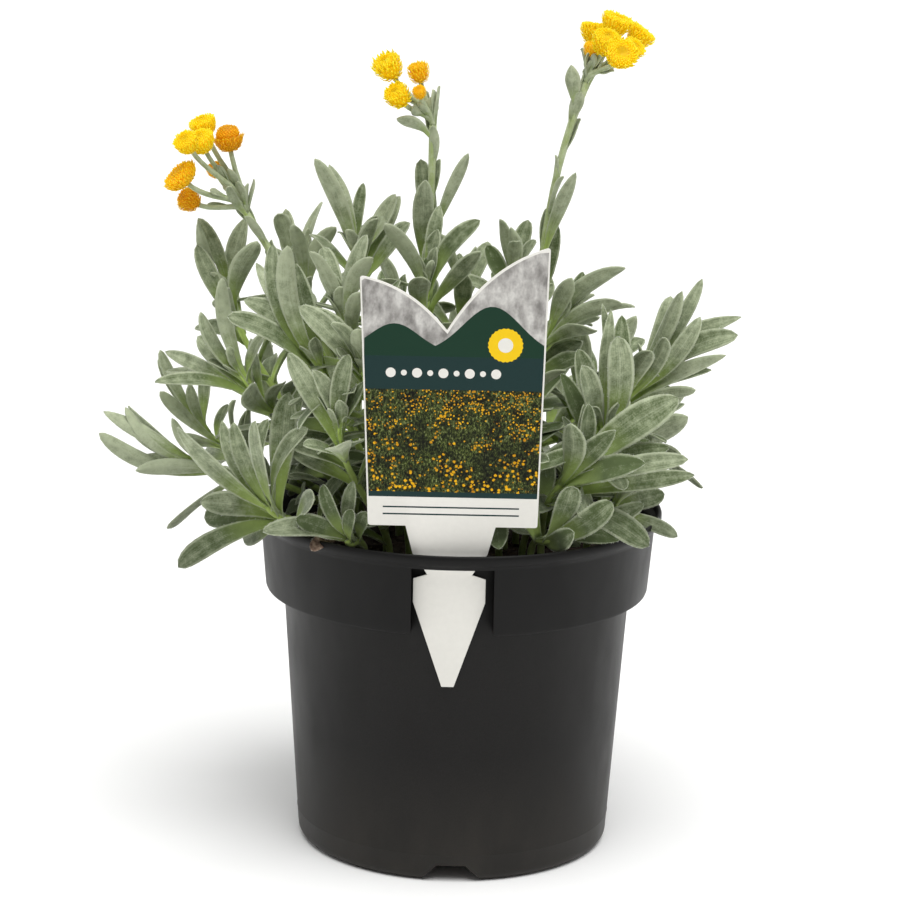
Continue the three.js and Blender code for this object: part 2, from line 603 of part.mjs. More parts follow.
// The leafy shoots: root on the mix, tip, heading at the tip, turn of the leaf spiral in
// degrees, number of spiral leaves, how far down the stem they start, and the tips and
// widths of the leaves that reach out where the plant shows them
const SHOOTS = [
  { root: [-44, -30], tip: [-63, -42, 126], heading: [-3, -1, 5], turn: 20, leaves: 3, zone: 12,
    aims: [[-92, -50, 107, 7.5], [-86, -24, 117, 8.5], [-73, -18, 108, 7], [-86, -34, 125, 8],
      [-92, -52, 154, 7.5], [-79, -34, 153, 5.5], [-57, -28, 162, 9], [-67, -58, 158, 6.5],
      [-74, -46, 155, 6], [-63, -44, 156, 5], [-50, -56, 156, 5.5]] },
  { root: [-34, -10], tip: [-74, -12, 164], heading: [-3, 0, 4], turn: 70, leaves: 6, zone: 26,
    aims: [[-102, -22, 163, 6], [-102, 14, 166, 5], [-90, -2, 175, 6.5], [-80, -18, 198, 6],
      [-88, -12, 185, 5.5], [-66, -10, 178, 7]] },
  { root: [-32, 8], tip: [-80, 18, 184], heading: [-1, 0, 4], turn: 110, leaves: 6, zone: 28,
    aims: [[-91, 14, 212, 4.5], [-89, 24, 208, 6], [-75, 22, 212, 7], [-70, 8, 206, 8]] },
  { root: [-42, -2], tip: [-88, -4, 130], heading: [-4, 0, 1], turn: 0, leaves: 5, zone: 22,
    aims: [[-110, -12, 130, 5.5], [-114, 8, 128, 5], [-120, -14, 151, 5.5], [-116, 12, 142, 4.5],
      [-114, -4, 150, 4.5]] },
  { root: [-40, 16], tip: [-91, 22, 139], heading: [-2, 0, 3], turn: 40, leaves: 5, zone: 22,
    aims: [[-98, 6, 137, 4.5], [-104, 14, 152, 4.5], [-82, 30, 145, 4.5], [-106, 24, 161, 4],
      [-95, 24, 153, 5], [-90, 36, 156, 4.5]] },
  { root: [-24, -18], tip: [-47, -34, 173], heading: [-1, 0, 2], turn: 200, leaves: 4, zone: 26,
    aims: [[-76, -44, 190, 8], [-73, -18, 191, 7], [-55, -28, 205, 8], [-57, -44, 214, 6.5],
      [-63, -32, 212, 6]] },
  { root: [-16, -30], tip: [-32, -50, 174], heading: [-1, -1, 4], turn: 90, leaves: 4, zone: 26,
    aims: [[-52, -56, 196, 7.5], [-45, -58, 190, 6], [-46, -44, 198, 7], [-33, -60, 190, 6]] },
  { root: [-14, -20], tip: [-38, -34, 187], heading: [-1, -1, 6], turn: 300, leaves: 3, zone: 24,
    aims: [[-33, -52, 201, 5], [-47, -32, 205, 6], [-49, -42, 212, 5], [-44, -26, 214, 6.5],
      [-38, -38, 218, 6.5], [-33, -44, 213, 6]] },
  { root: [-10, -8], tip: [-36, 0, 204], heading: [-1, 0, 7], turn: 150, leaves: 5, zone: 34,
    aims: [[-29, -12, 219, 5], [-19, -4, 216, 7], [-22, 8, 223, 7], [-50, -8, 237, 6],
      [-34, 10, 227, 4], [-44, 6, 234, 5]] },
  { root: [-20, 12], tip: [-56, 24, 193], heading: [-1, 1, 6], turn: 10, leaves: 4, zone: 30,
    aims: [[-68, 20, 202, 6], [-44, 22, 210, 6], [-58, 10, 212, 5], [-62, 36, 213, 6],
      [-49, 28, 217, 5], [-64, 18, 215, 6]] },
  { root: [-4, -14], tip: [-12, -12, 196], heading: [0, -1, 4], turn: 60, leaves: 4, zone: 30,
    aims: [[-13, -34, 202, 7], [6, -24, 210, 6], [-26, -24, 218, 5.5], [5, -16, 219, 6.5],
      [-20, -18, 208, 5]] },
  { root: [10, -2], tip: [18, 8, 197], heading: [0, 0, 1], turn: 260, leaves: 5, zone: 32,
    aims: [[-3, 16, 194, 5.5], [8, 10, 206, 6], [22, 16, 214, 6], [13, 8, 216, 4.5],
      [18, 0, 212, 4.5]] },
  { root: [20, -6], tip: [32, -8, 183], heading: [2, 0, 3], turn: 140, leaves: 4, zone: 28,
    aims: [[58, -8, 190, 4.5], [54, -16, 192, 6], [54, -12, 204, 8], [46, 6, 196, 5],
      [38, -16, 201, 6], [41, -2, 200, 5]] },
  { root: [34, -2], tip: [59, -2, 159], heading: [3, -1, 4], turn: 210, leaves: 3, zone: 20,
    aims: [[79, -14, 162, 5], [85, -2, 167, 5], [89, -12, 174, 5.5], [95, 4, 184, 6],
      [63, -22, 177, 6.5], [89, -6, 185, 8], [69, -16, 181, 5.5], [79, -8, 192, 6],
      [74, 6, 190, 7], [81, -2, 198, 6]] },
  { root: [22, -20], tip: [48, -34, 152], heading: [0, -1, 6], turn: 330, leaves: 3, zone: 20,
    aims: [[33, -38, 172, 6.5], [40, -46, 176, 8], [39, -26, 178, 8], [45, -34, 172, 6],
      [53, -22, 189, 6.5], [51, -40, 185, 9], [46, -30, 193, 4.5]] },
  { root: [28, -32], tip: [37, -44, 139], heading: [3, -1, 3], turn: 30, leaves: 2, zone: 14,
    aims: [[77, -52, 142, 6.5], [70, -44, 146, 6.5], [60, -58, 147, 8.5], [63, -30, 148, 6],
      [72, -38, 165, 11], [53, -50, 156, 7], [40, -58, 160, 8], [47, -52, 163, 6],
      [44, -46, 162, 5]] },
  { root: [24, -44], tip: [31, -52, 120], heading: [2, -1, 4], turn: 250, leaves: 2, zone: 8,
    aims: [[53, -54, 120, 6], [37, -61, 124, 7], [53, -50, 134, 8], [60, -40, 133, 6],
      [39, -60, 137, 8], [33, -60, 134, 6.5]] },
  { root: [-30, -48], tip: [-36, -54, 118], heading: [-1, -1, 4], turn: 120, leaves: 3, zone: 8,
    aims: [[-63, -64, 123, 7.5], [-61, -54, 127, 6.5], [-30, -60, 129, 5], [-44, -60, 138, 5],
      [-34, -58, 139, 5], [-41, -56, 135, 4.5]] },
  { root: [-22, -38], tip: [-39, -54, 156], heading: [0, -1, 4], turn: 180, leaves: 3, zone: 22,
    aims: [[-50, -60, 152, 5], [-59, -48, 178, 7], [-36, -58, 181, 6], [-47, -60, 176, 6],
      [-31, -58, 172, 5]] },
  { root: [0, 8], tip: [0, 20, 188], heading: [0, 1, 6], turn: 0, leaves: 8, zone: 38, aims: [] },
  { root: [-10, 20], tip: [-22, 42, 178], heading: [-1, 2, 5], turn: 45, leaves: 8, zone: 36, aims: [] },
  { root: [12, 18], tip: [26, 36, 180], heading: [1, 2, 5], turn: 90, leaves: 8, zone: 36, aims: [] },
  { root: [-26, 24], tip: [-50, 50, 160], heading: [-2, 2, 3], turn: 135, leaves: 8, zone: 32, aims: [] },
  { root: [2, 32], tip: [4, 62, 154], heading: [0, 3, 4], turn: 180, leaves: 8, zone: 30, aims: [] },
  { root: [28, 24], tip: [52, 46, 158], heading: [2, 2, 3], turn: 225, leaves: 8, zone: 30, aims: [] },
  { root: [38, 10], tip: [65, 24, 148], heading: [2, 1, 5], turn: 270, leaves: 7, zone: 24, aims: [] },
  { root: [-38, 28], tip: [-70, 52, 142], heading: [-1, 2, 3], turn: 315, leaves: 7, zone: 24, aims: [] },
  { root: [-20, 42], tip: [-38, 76, 130], heading: [-1, 3, 2], turn: 15, leaves: 8, zone: 22, aims: [] },
  { root: [18, 44], tip: [36, 76, 132], heading: [1, 3, 2], turn: 75, leaves: 8, zone: 22, aims: [] },
  { root: [4, -24], tip: [-6, -40, 160], heading: [0, -1, 5], turn: 105, leaves: 7, zone: 30, aims: [] },
  { root: [14, -30], tip: [16, -46, 146], heading: [1, -2, 5], turn: 165, leaves: 7, zone: 24, aims: [] },
  { root: [16, -14], tip: [20, -24, 170], heading: [1, -1, 6], turn: 195, leaves: 7, zone: 32, aims: [] },
  { root: [42, 24], tip: [57, 50, 128], heading: [1, 2, 4], turn: 285, leaves: 8, zone: 20, aims: [] },
  { root: [44, -14], tip: [54, -20, 126], heading: [1, -1, 5], turn: 345, leaves: 7, zone: 14, aims: [] },
];

// The flower stalks: root, fork and heading there, the leaves they carry as tip, width
// and how far below the fork they start, and the heads as centre, radius and finish
const STALKS = [
  { name: 'left', root: [-20, 2], fork: [-74, 11, 215], heading: [-2, 0, 3],
    leaves: [[-80, 2, 226, 3, 2], [-79, 18, 229, 3, 4], [-52, 4, 196, 4, 34]],
    heads: [[-89, 13, 245, 4.4, 'yellow'], [-89, 4, 240.5, 4.4, 'yellow'], [-93, -4, 241, 4, 'yellow'],
      [-80, 9, 241, 4.4, 'orange'], [-96, -1, 230, 4.6, 'orange'], [-93.5, 8, 220, 4, 'orange'],
      [-85, 16, 229, 2.8, 'orange']] },
  { name: 'middle', root: [-13, 5], fork: [-11, -1, 248], heading: [0, 0, 6],
    leaves: [[-13, -10, 231, 6.5, 44], [-15, 4, 236, 6, 42], [1, -2, 239, 4.5, 34],
      [-23, -8, 251, 4.5, 3]],
    heads: [[-26, -4, 267.5, 4.6, 'yellow'], [-22.5, -9, 258.5, 4, 'yellow'],
      [-16, 3, 265, 3.5, 'orange'], [-15.5, -7, 259.5, 2.2, 'orange']] },
  { name: 'right', root: [26, 4], fork: [40, 0, 263], heading: [2, 0, 5],
    leaves: [[34.5, -2, 269, 5, 9], [37, -8, 234, 4.5, 52], [32, 6, 214, 5.5, 70]],
    heads: [[42, 9, 279, 4, 'yellow'], [49.5, 4, 282.5, 4.6, 'yellow'], [57.5, 8, 278, 4.3, 'yellow'],
      [45.5, -6, 277, 4.3, 'yellow'], [50, -15.5, 274, 4.6, 'yellow'], [54.5, -3, 274.5, 3.8, 'yellow'],
      [41.5, 1, 274, 2.8, 'orange']] },
];

// A head: overlapping pointed bracts round a cup, a waist, and a cushion of florets.
// Rows are height, radius, and how far alternate points stand up and out, in head radii.
const HEAD_ROWS = [
  [-0.95, 0.24, 0, 0],
  [-0.62, 0.7, 0, 0.05],
  [-0.12, 0.95, 0.14, 0.1],
  [0.08, 0.86, 0, -0.04],
  [0.46, 0.92, 0, 0.06],
  [0.84, 0.5, 0.03, -0.06],
];

function headSolid([x, y, z, radius], fork) {
  const centre = [x, y, z];
  const axis = unit(add(unit(sub(centre, fork)), [0, 0, HEAD_UPRIGHT]));
  const [u, v] = sidesOf(axis);
  const points = [];
  HEAD_ROWS.forEach(([height, wide, stand, out]) => {
    for (let k = 0; k < HEAD_SIDES; k += 1) {
      const sign = k % 2 === 0 ? 1 : -1;
      const rise = scale(axis, radius * (height + sign * stand));
      const reach = scale(aside(u, v, k * 2 * Math.PI / HEAD_SIDES), radius * (wide + sign * out));
      points.push(sum(centre, rise, reach));
    }
  });
  const faces = [];
  for (let i = 0; i + 1 < HEAD_ROWS.length; i += 1) {
    for (let k = 0; k < HEAD_SIDES; k += 1) {
      const a = i * HEAD_SIDES + k;
      const b = i * HEAD_SIDES + ((k + 1) % HEAD_SIDES);
      faces.push([a, b, b + HEAD_SIDES], [a, b + HEAD_SIDES, a + HEAD_SIDES]);
    }
  }
  const foot = points.length;
  points.push(sum(centre, scale(axis, radius * HEAD_ROWS[0][0])));
  const crown = points.length;
  points.push(sum(centre, scale(axis, radius)));
  const last = (HEAD_ROWS.length - 1) * HEAD_SIDES;
  for (let k = 0; k < HEAD_SIDES; k += 1) {
    const next = (k + 1) % HEAD_SIDES;
    faces.push([foot, next, k], [crown, last + k, last + next]);
  }
  return { solid: solidOf(points, faces), seat: points[foot], axis };
}

// A branch leaves the fork and meets its head square to the head's foot
function branchSolid(fork, seat, axis) {
  const end = sub(seat, scale(axis, HEAD_SEAT));
  const span = length(sub(end, fork));
  const curve = new THREE.CubicBezierCurve3(
    new THREE.Vector3(...fork),
    new THREE.Vector3(...add(fork, [0, 0, BRANCH_START * span])),
    new THREE.Vector3(...sub(end, scale(axis, BRANCH_ARRIVAL * span))),
    new THREE.Vector3(...end),
  );
  const centres = [0, 1, 2].map((i) => curve.getPoint(i / 2).toArray());
  return tubeSolid(centres, [BRANCH_RADIUS, BRANCH_RADIUS, BRANCH_RADIUS]);
}

// Assembly
const plant = new THREE.Group();
const roots = [
  ...SHOOTS.map((shoot) => ({ at: shoot.root, radius: SHOOT_STEM_RADIUS })),
  ...STALKS.map((stalk) => ({ at: stalk.root, radius: STALK_RADIUS })),
];
const pot = potSolid();
const soil = soilSolid(roots);
const label = labelSolid();
place('pot', pot);
place('potting_mix', soil);
place('plant_label', label);
plant.add(meshOf('pot', pot, 'pot'));
plant.add(meshOf('potting_mix', soil, 'soil'));
plant.add(meshOf('plant_label', label, 'label'));

const stalks = STALKS.map((stalk, i) => {
  const owner = `flower_stalk_${stalk.name}`;
  const curve = stemCurve(stalk.root, stalk.fork, stalk.heading);
  let solid = stemSolid(curve, STALK_RADIUS, STALK_TIP_RADIUS);
  stalk.heads.forEach((head, k) => {
    const { solid: cushion, seat, axis } = headSolid(head, stalk.fork);
    const name = `flower_head_${stalk.name}_${k + 1}`;
    place(name, cushion);
    plant.add(meshOf(name, cushion, head[4]));
    solid = solid.add(branchSolid(stalk.fork, seat, axis));
  });
  place(owner, solid);
  return { owner, solid, plans: stalkPlans(stalk, curve, drawsFrom(500 + i)) };
});

const shoots = SHOOTS.map((shoot, i) => {
  const owner = `leafy_shoot_${String(i + 1).padStart(2, '0')}`;
  const curve = stemCurve(shoot.root, shoot.tip, shoot.heading);
  const solid = stemSolid(curve, SHOOT_STEM_RADIUS, SHOOT_TIP_RADIUS);
  place(owner, solid);
  return { owner, solid, plans: shootPlans(shoot, curve, drawsFrom(1000 + i)) };
});

stalks.forEach(({ owner, solid, plans }) => {
  plant.add(meshOf(owner, growLeaves(owner, solid, plans), 'stalk'));
});
shoots.forEach(({ owner, solid, plans }) => {
  plant.add(meshOf(owner, growLeaves(owner, solid, plans), 'leaf'));
});

export default plant;
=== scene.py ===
"""The looks of a potted chrysocephalum: felted leaves, yellow button flowers, a black
nursery pot and a printed card label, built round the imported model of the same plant."""

import math
import random

import bpy
import numpy as np
from mathutils import Matrix, Vector, kdtree


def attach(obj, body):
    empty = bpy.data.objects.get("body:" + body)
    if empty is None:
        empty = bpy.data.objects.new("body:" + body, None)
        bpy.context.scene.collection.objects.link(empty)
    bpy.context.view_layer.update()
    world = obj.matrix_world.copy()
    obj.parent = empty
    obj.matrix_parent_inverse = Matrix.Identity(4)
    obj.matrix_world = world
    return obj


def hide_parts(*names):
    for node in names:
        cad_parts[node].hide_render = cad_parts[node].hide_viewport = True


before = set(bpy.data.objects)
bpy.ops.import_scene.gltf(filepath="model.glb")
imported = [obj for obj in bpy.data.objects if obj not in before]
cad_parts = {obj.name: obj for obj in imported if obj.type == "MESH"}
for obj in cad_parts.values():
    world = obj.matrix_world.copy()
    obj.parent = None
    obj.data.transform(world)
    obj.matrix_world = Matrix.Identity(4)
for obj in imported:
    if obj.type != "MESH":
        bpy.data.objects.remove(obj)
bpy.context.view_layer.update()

bl_info = {
    "name": "Potted chrysocephalum",
    "version": (1, 0, 0),
    "blender": (4, 5, 0),
    "location": "3D View > Sidebar > Plant",
    "description": "Builds a potted chrysocephalum round its packed model",
    "category": "Add Mesh",
}

MM = 0.001
TAU = 2 * math.pi


def colour(code):
    """An sRGB hex value as linear red, green, blue and alpha."""
    shares = [int(code[i:i + 2], 16) / 255 for i in (0, 2, 4)]
    linear = [c / 12.92 if c <= 0.04045 else ((c + 0.055) / 1.055) ** 2.4 for c in shares]
    return (*linear, 1.0)


def tint(name, description, code):
    return bpy.props.FloatVectorProperty(
        name=name, description=description, subtype="COLOR", size=4, min=0, max=1, default=colour(code))


def size(name, description, millimetres):
    return bpy.props.FloatProperty(
        name=name, description=description, default=millimetres * MM, unit="LENGTH", subtype="DISTANCE")


# The settings a user would change
class PotSettings(bpy.types.PropertyGroup):
    rim_radius: size("Rim radius", "Radius of the pot over its lip", 70)
    rim_height: size("Height", "Height of the pot", 117.5)
    wall: size("Wall", "Thickness of the moulded wall", 1.4)
    plastic: tint("Plastic", "Colour of the moulded polypropylene", "141312")
    mix: tint("Potting mix", "Colour of the moist bark mix", "3A2A1E")


class LabelSettings(bpy.types.PropertyGroup):
    thickness: size("Thickness", "Thickness of the card", 0.8)
    border: size("Border", "Width of the unprinted edge", 0.55)
    card: tint("Card", "Colour of the bare card", "E7E5DE")
    band: tint("Band", "Colour of the printed band", "13302F")
    sweep: tint("Hills", "Colour of the printed hills", "0C3322")


class FoliageSettings(bpy.types.PropertyGroup):
    blade: size("Blade thickness", "Thickness of a leaf beside its midrib", 0.5)
    wave: size("Wave", "How far the leaf margins wave up and down", 0.45)
    hair: size("Hair length", "Length of the felt hairs on the margins", 0.75)
    hairs: bpy.props.IntProperty(
        name="Hairs", description="Felt hairs on each leaf margin", default=34, min=0, max=80)
    felt: tint("Felt", "Colour of the pale felt", "B9C2A2")
    green: tint("Green", "Colour of the blade under the felt", "3F5419")
    stem: tint("Stem green", "Colour of stems and stalks under the felt", "93A850")
    young: tint("Young green", "Colour of the blade near its foot", "C2DE6C")


class FlowerSettings(bpy.types.PropertyGroup):
    bracts: bpy.props.IntProperty(
        name="Bracts", description="Papery bracts on each head", default=200, min=40, max=400)
    florets: bpy.props.IntProperty(
        name="Florets", description="Florets in each head's cushion", default=150, min=20, max=300)
    yellow: tint("Yellow", "Colour of a fresh head", "FFDE08")
    golden: tint("Golden", "Colour of a ripe head", "F9BE06")
    orange: tint("Orange", "Colour of an old head", "E39A08")


class StageSettings(bpy.types.PropertyGroup):
    floor: tint("Floor", "Colour of the floor", "FBFBFA")
    light: bpy.props.FloatProperty(
        name="Light", description="Strength of the light from all round", default=0.68, min=0, max=5)
    overhead: bpy.props.FloatProperty(
        name="Overhead light", description="Strength of the softbox above", default=2.5, min=0, max=10)


# Materials
FLAT = {"data_type": "RGBA"}
MULTIPLIED = {"data_type": "RGBA", "blend_type": "MULTIPLY"}
PLAIN_NOISE = {"Detail": 2.0, "Roughness": 0.55}
RICH_NOISE = {"Detail": 3.0, "Roughness": 0.55}
FINE_NOISE = {"Detail": 4.0, "Roughness": 0.55}


def grey(value):
    return (value, value, value, 1.0)


def per(millimetres):
    """The scale of a pattern whose grain is so many millimetres across."""
    return 1 / (millimetres * MM)


def node(material, kind, *sources, stops=(), **values):
    """Adds a node with its settings and links. Sources go into its sockets in use, in their
    order: a node gives its first output in use, an output is linked, and anything else is
    set. Values set a property, or a socket by its name, with "_" for each space. Stops are
    the places and colours of a ramp."""
    tree = material.node_tree
    made = tree.nodes.new("ShaderNode" + kind)
    for key in [key for key in values if hasattr(made, key)]:
        setattr(made, key, values.pop(key))
    for _ in stops[2:]:
        made.color_ramp.elements.new(0.5)
    for k, (place, shade) in enumerate(stops):
        made.color_ramp.elements[k].position = place
        made.color_ramp.elements[k].color = shade
    pairs = list(zip([socket for socket in made.inputs if socket.enabled], sources))
    pairs += [(made.inputs[key.replace("_", " ")], value) for key, value in values.items()]
    for socket, source in pairs:
        if isinstance(source, bpy.types.Node):
            source = next(output for output in source.outputs if output.enabled)
        if isinstance(source, bpy.types.NodeSocket):
            tree.links.new(source, socket)
        else:
            socket.default_value = source
    return made


def new_material(name):
    """An empty material, and the place on the object in metres that its patterns follow."""
    material = bpy.data.materials.new(name)
    material.use_nodes = True
    material.node_tree.nodes.clear()
    return material, node(material, "TexCoord").outputs["Object"]


def finished(material, height=None, strength=0.3, depth=0.0002, **surface):
    """Ends a material with its surface, and with a bump where a height is given."""
    if height is not None:
        surface["Normal"] = node(material, "Bump", strength, depth, Height=height)
    node(material, "OutputMaterial", node(material, "BsdfPrincipled", **surface))
    return material


# Heights in metres over which the dust on the pot ends and the collar's painted shade begins
DUST_HEIGHTS = (0.0, 0.045)
MOST_DUST = 0.22
COLLAR_HEIGHTS = (0.086, 0.092)


def moulded_polypropylene(settings):
    """Injection-moulded black polypropylene: a satin skin with a fine dull grain, a little uneven flow in
    its gloss, dust rubbed on low down, and painted shade that darkens the collar."""
    material, place = new_material("moulded polypropylene")
    grain = node(material, "TexNoise", place, Scale=per(0.35), **FINE_NOISE)
    stretched = node(material, "Mapping", place, Scale=(1, 1, 0.45))
    flow = node(material, "TexNoise", stretched, Scale=per(14), **RICH_NOISE)
    height = node(material, "SeparateXYZ", place).outputs["Z"]
    low = node(material, "MapRange", height, *DUST_HEIGHTS, 1.0, 0.0)
    dusty = node(material, "Math", low, flow, operation="MULTIPLY")
    dusty = node(material, "Math", dusty, MOST_DUST, operation="MULTIPLY")
    speck = node(material, "ValToRGB", grain, stops=[(0.35, grey(0.8)), (0.7, grey(1.35))])
    base = node(material, "Mix", 1.0, tuple(settings.plastic), speck, **MULTIPLIED)
    base = node(material, "Mix", dusty, base, colour("6B655C"), **FLAT)
    # The collar is darkened with painted shade
    painted_collar_shade = node(material, "MapRange", height, *COLLAR_HEIGHTS, 1.0, 0.45)
    base = node(material, "Mix", 1.0, base, painted_collar_shade, **MULTIPLIED)
    gloss = node(material, "ValToRGB", flow, stops=[(0.3, grey(0.40)), (0.7, grey(0.52))])
    return finished(
        material, grain, 0.35, 0.00008, Base_Color=base, Roughness=gloss, IOR=1.49, Specular_IOR_Level=0.2)


# How much lighter a torn face of the bark is
TORN_FACE = 1.9


def bark_mix(settings, name="composted bark", lightness=1.0):
    """Composted pine bark: dark, moist and fibrous, with paler torn faces."""
    material, place = new_material(name)
    stretched = node(material, "Mapping", place, Scale=(1, 1, 0.35))
    fibre = node(material, "TexNoise", stretched, Scale=per(0.9), Detail=5.0, Roughness=0.65)
    lump = node(material, "TexNoise", place, Scale=per(4.5), **RICH_NOISE)
    pale = tuple(min(c * TORN_FACE * lightness, 1) for c in settings.mix[:3]) + (1.0,)
    base = node(material, "ValToRGB", fibre, stops=[
        (0.32, colour("120C08")), (0.55, tuple(settings.mix)), (0.78, pale)])
    damp = node(material, "ValToRGB", lump, stops=[(0.3, grey(0.75)), (0.7, grey(0.95))])
    return finished(material, fibre, 0.8, 0.0004, Base_Color=base, Roughness=damp)


# How much of a blade the felt covers before its layers are added, and the least of it. In metres: the
# distances from the crown's foot over which the outer leaves carry more felt and are painted paler, a
# painted backlight, and the heights over which the painted shade on the low leaves gives way to their full
# colour.
FELT_START = -1.405
LEAST_FELT = 0.12
CROWN_FOOT = (0, 0, 0.12)
PAINTED_BACKLIGHT_DISTANCES = (0.080, 0.115)
PAINTED_SHADE_HEIGHTS = (0.106, 0.145)


def felted_skin(name, settings, under, darken=1.0):
    """A leaf or stem skin under woolly felt: green shows through it unevenly, the margins
    and the midrib carry more wool, and the foot is nearly bare and yellow-green. The UV map
    runs across the blade and along it, and the growth colours hold each leaf's tone, which
    side it is and how young it is. Darken scales the whole colour."""
    material, place = new_material(name)
    blade = node(material, "UVMap", uv_map="blade")
    across, along, _ = node(material, "SeparateXYZ", blade).outputs
    growth = node(material, "Attribute", attribute_name="growth")
    tone, back, youth = node(material, "SeparateColor", growth).outputs
    wool = node(material, "TexNoise", place, Scale=per(0.55), Detail=4.0, Roughness=0.7)
    patch = node(material, "TexNoise", place, Scale=per(3.2), **RICH_NOISE)
    # Fine furrows run along the blade, a fifth of a millimetre apart in life and drawn
    # twice as wide so that they show. The UV map measures shares of the blade.
    stretched = node(material, "Mapping", blade, Scale=(22, 1.5, 1))
    furrow = node(material, "TexNoise", stretched, Scale=1.0, **PLAIN_NOISE)
    # From the midrib at 0 to the margin at 1
    off = node(material, "Math", across, 2.0, -1.0, operation="MULTIPLY_ADD")
    off = node(material, "Math", off, operation="ABSOLUTE")
    margin = node(material, "ValToRGB", off, stops=[(0.74, grey(0.0)), (0.92, grey(1.0))])
    rib = node(material, "ValToRGB", off, stops=[(0.02, grey(1.0)), (0.13, grey(0.0))])
    foot = node(material, "ValToRGB", along, stops=[(0.14, grey(1.0)), (0.60, grey(0.0))])
    # The outer leaves are painted paler, a painted backlight, and the low ones darker, a painted shade
    height = node(material, "SeparateXYZ", place).outputs["Z"]
    far = node(material, "VectorMath", place, CROWN_FOOT, operation="DISTANCE")
    outer = node(material, "MapRange", far, *PAINTED_BACKLIGHT_DISTANCES)
    dull = node(material, "MapRange", height, *PAINTED_SHADE_HEIGHTS, 0.55, 1.0)
    cover = FELT_START
    for share, weight in (
            (wool, 1.05), (patch, 0.9), (furrow, 0.85), (tone, 0.5), (back, 0.34), (margin, 0.7),
            (rib, 0.16), (foot, -0.6), (outer, 0.42)):
        cover = node(material, "Math", share, weight, cover, operation="MULTIPLY_ADD")
    cover = node(material, "Clamp", cover, LEAST_FELT, 1.0)
    young = node(material, "Math", foot, youth, operation="MULTIPLY")
    flesh = node(material, "Mix", young, tuple(under), tuple(settings.young), **FLAT)
    base = node(material, "Mix", cover, flesh, tuple(settings.felt), **FLAT)
    depth = node(material, "ValToRGB", patch, stops=[(0.3, grey(0.78 * darken)), (0.7, grey(0.98 * darken))])
    base = node(material, "Mix", 1.0, base, depth, **MULTIPLIED)
    base = node(material, "Mix", 1.0, base, dull, **MULTIPLIED)
    return finished(
        material, wool, 0.55, 0.00022, Base_Color=base, Roughness=0.78, Specular_IOR_Level=0.25,
        Sheen_Weight=0.35, Sheen_Roughness=0.45, Sheen_Tint=colour("EEF3E4"))


def wool_hair():
    """Single woolly hairs: nearly white, and drawn thicker than life so that they show."""
    material, place = new_material("woolly leaf hair")
    drift = node(material, "TexNoise", place, Scale=per(6), **PLAIN_NOISE)
    base = node(material, "ValToRGB", drift, stops=[(0.3, colour("D5DCCB")), (0.7, colour("EEF1E8"))])
    return finished(material, Base_Color=base, Roughness=0.7, Sheen_Weight=0.2)


def dried_skin():
    """A dead leaf: dull grey-brown and crumpled, with darker blotches."""
    material, place = new_material("dried leaf")
    blotch = node(material, "TexNoise", place, Scale=per(1.6), **FINE_NOISE)
    base = node(material, "ValToRGB", blotch, stops=[
        (0.32, colour("43302A")), (0.52, colour("7D6757")), (0.72, colour("A89887"))])
    return finished(material, blotch, 0.8, 0.0004, Base_Color=base, Roughness=0.85)


def papery_bract(name, fresh):
    """Dry papery bracts and florets: saturated, a little glossy, with painted shade that darkens each bract
    toward its root where they overlap, and greenish at the head's foot. They let light through, which a
    faint painted glow stands for. The growth colours hold tone, how far along the bract and how high on the
    head."""
    material, place = new_material(name)
    growth = node(material, "Attribute", attribute_name="growth")
    tone, along, high = node(material, "SeparateColor", growth).outputs
    vein = node(material, "TexNoise", place, Scale=per(0.3), **RICH_NOISE)
    # Painted shade: each bract is darker toward its root, where the bracts overlap
    shade = node(material, "ValToRGB", along, stops=[(0.0, grey(0.86)), (0.4, grey(1.0))])
    body = node(material, "Mix", 1.0, fresh, shade, **MULTIPLIED)
    olive = node(material, "ValToRGB", high, stops=[(0.16, grey(0.75)), (0.34, grey(0.0))])
    body = node(material, "Mix", olive, body, colour("A8A03A"), **FLAT)
    deep = node(material, "ValToRGB", tone, stops=[
        (0.0, colour("8E4A00")), (0.4, colour("F0AC00")), (1.0, colour("FFEE3C"))])
    body = node(material, "Mix", 0.42, body, deep, **FLAT)
    # The emission is a painted glow that stands for light let through the bracts
    return finished(
        material, vein, 0.2, 0.00006, Base_Color=body, Roughness=0.55, Specular_IOR_Level=0.3,
        Subsurface_Weight=0.45, Subsurface_Radius=(1.0, 0.8, 0.1), Subsurface_Scale=0.002,
        Emission_Color=fresh, Emission_Strength=0.15)


def coated_card(name, base):
    """Coated label card: flat ink under a thin even coat, with the faintest mottle."""
    material, place = new_material(name)
    mottle = node(material, "TexNoise", place, Scale=per(2), **PLAIN_NOISE)
    drift = node(material, "ValToRGB", mottle, stops=[(0.3, grey(0.97)), (0.7, grey(1.0))])
    shade = node(material, "Mix", 1.0, base, drift, **MULTIPLIED)
    return finished(material, Base_Color=shade, Roughness=0.45, Specular_IOR_Level=0.2)


def printed_felt():
    """The top of the label, printed like soft grey felt seen close."""
    material, place = new_material("printed grey felt")
    stretched = node(material, "Mapping", place, Scale=(1, 1, 0.55))
    broad = node(material, "TexNoise", stretched, Scale=per(3.4), **FINE_NOISE)
    fine = node(material, "TexNoise", place, Scale=per(0.8), **RICH_NOISE)
    base = node(material, "ValToRGB", broad, stops=[
        (0.32, colour("7A7773")), (0.50, colour("A9A6A2")), (0.66, colour("CCCAC5"))])
    fleck = node(material, "ValToRGB", fine, stops=[(0.3, grey(0.88)), (0.7, grey(1.06))])
    shade = node(material, "Mix", 1.0, base, fleck, **MULTIPLIED)
    return finished(material, Base_Color=shade, Roughness=0.28)


# Heights in metres between which the printed meadow's near heads give way to far ones
MEADOW_HEIGHTS = (0.141, 0.169)


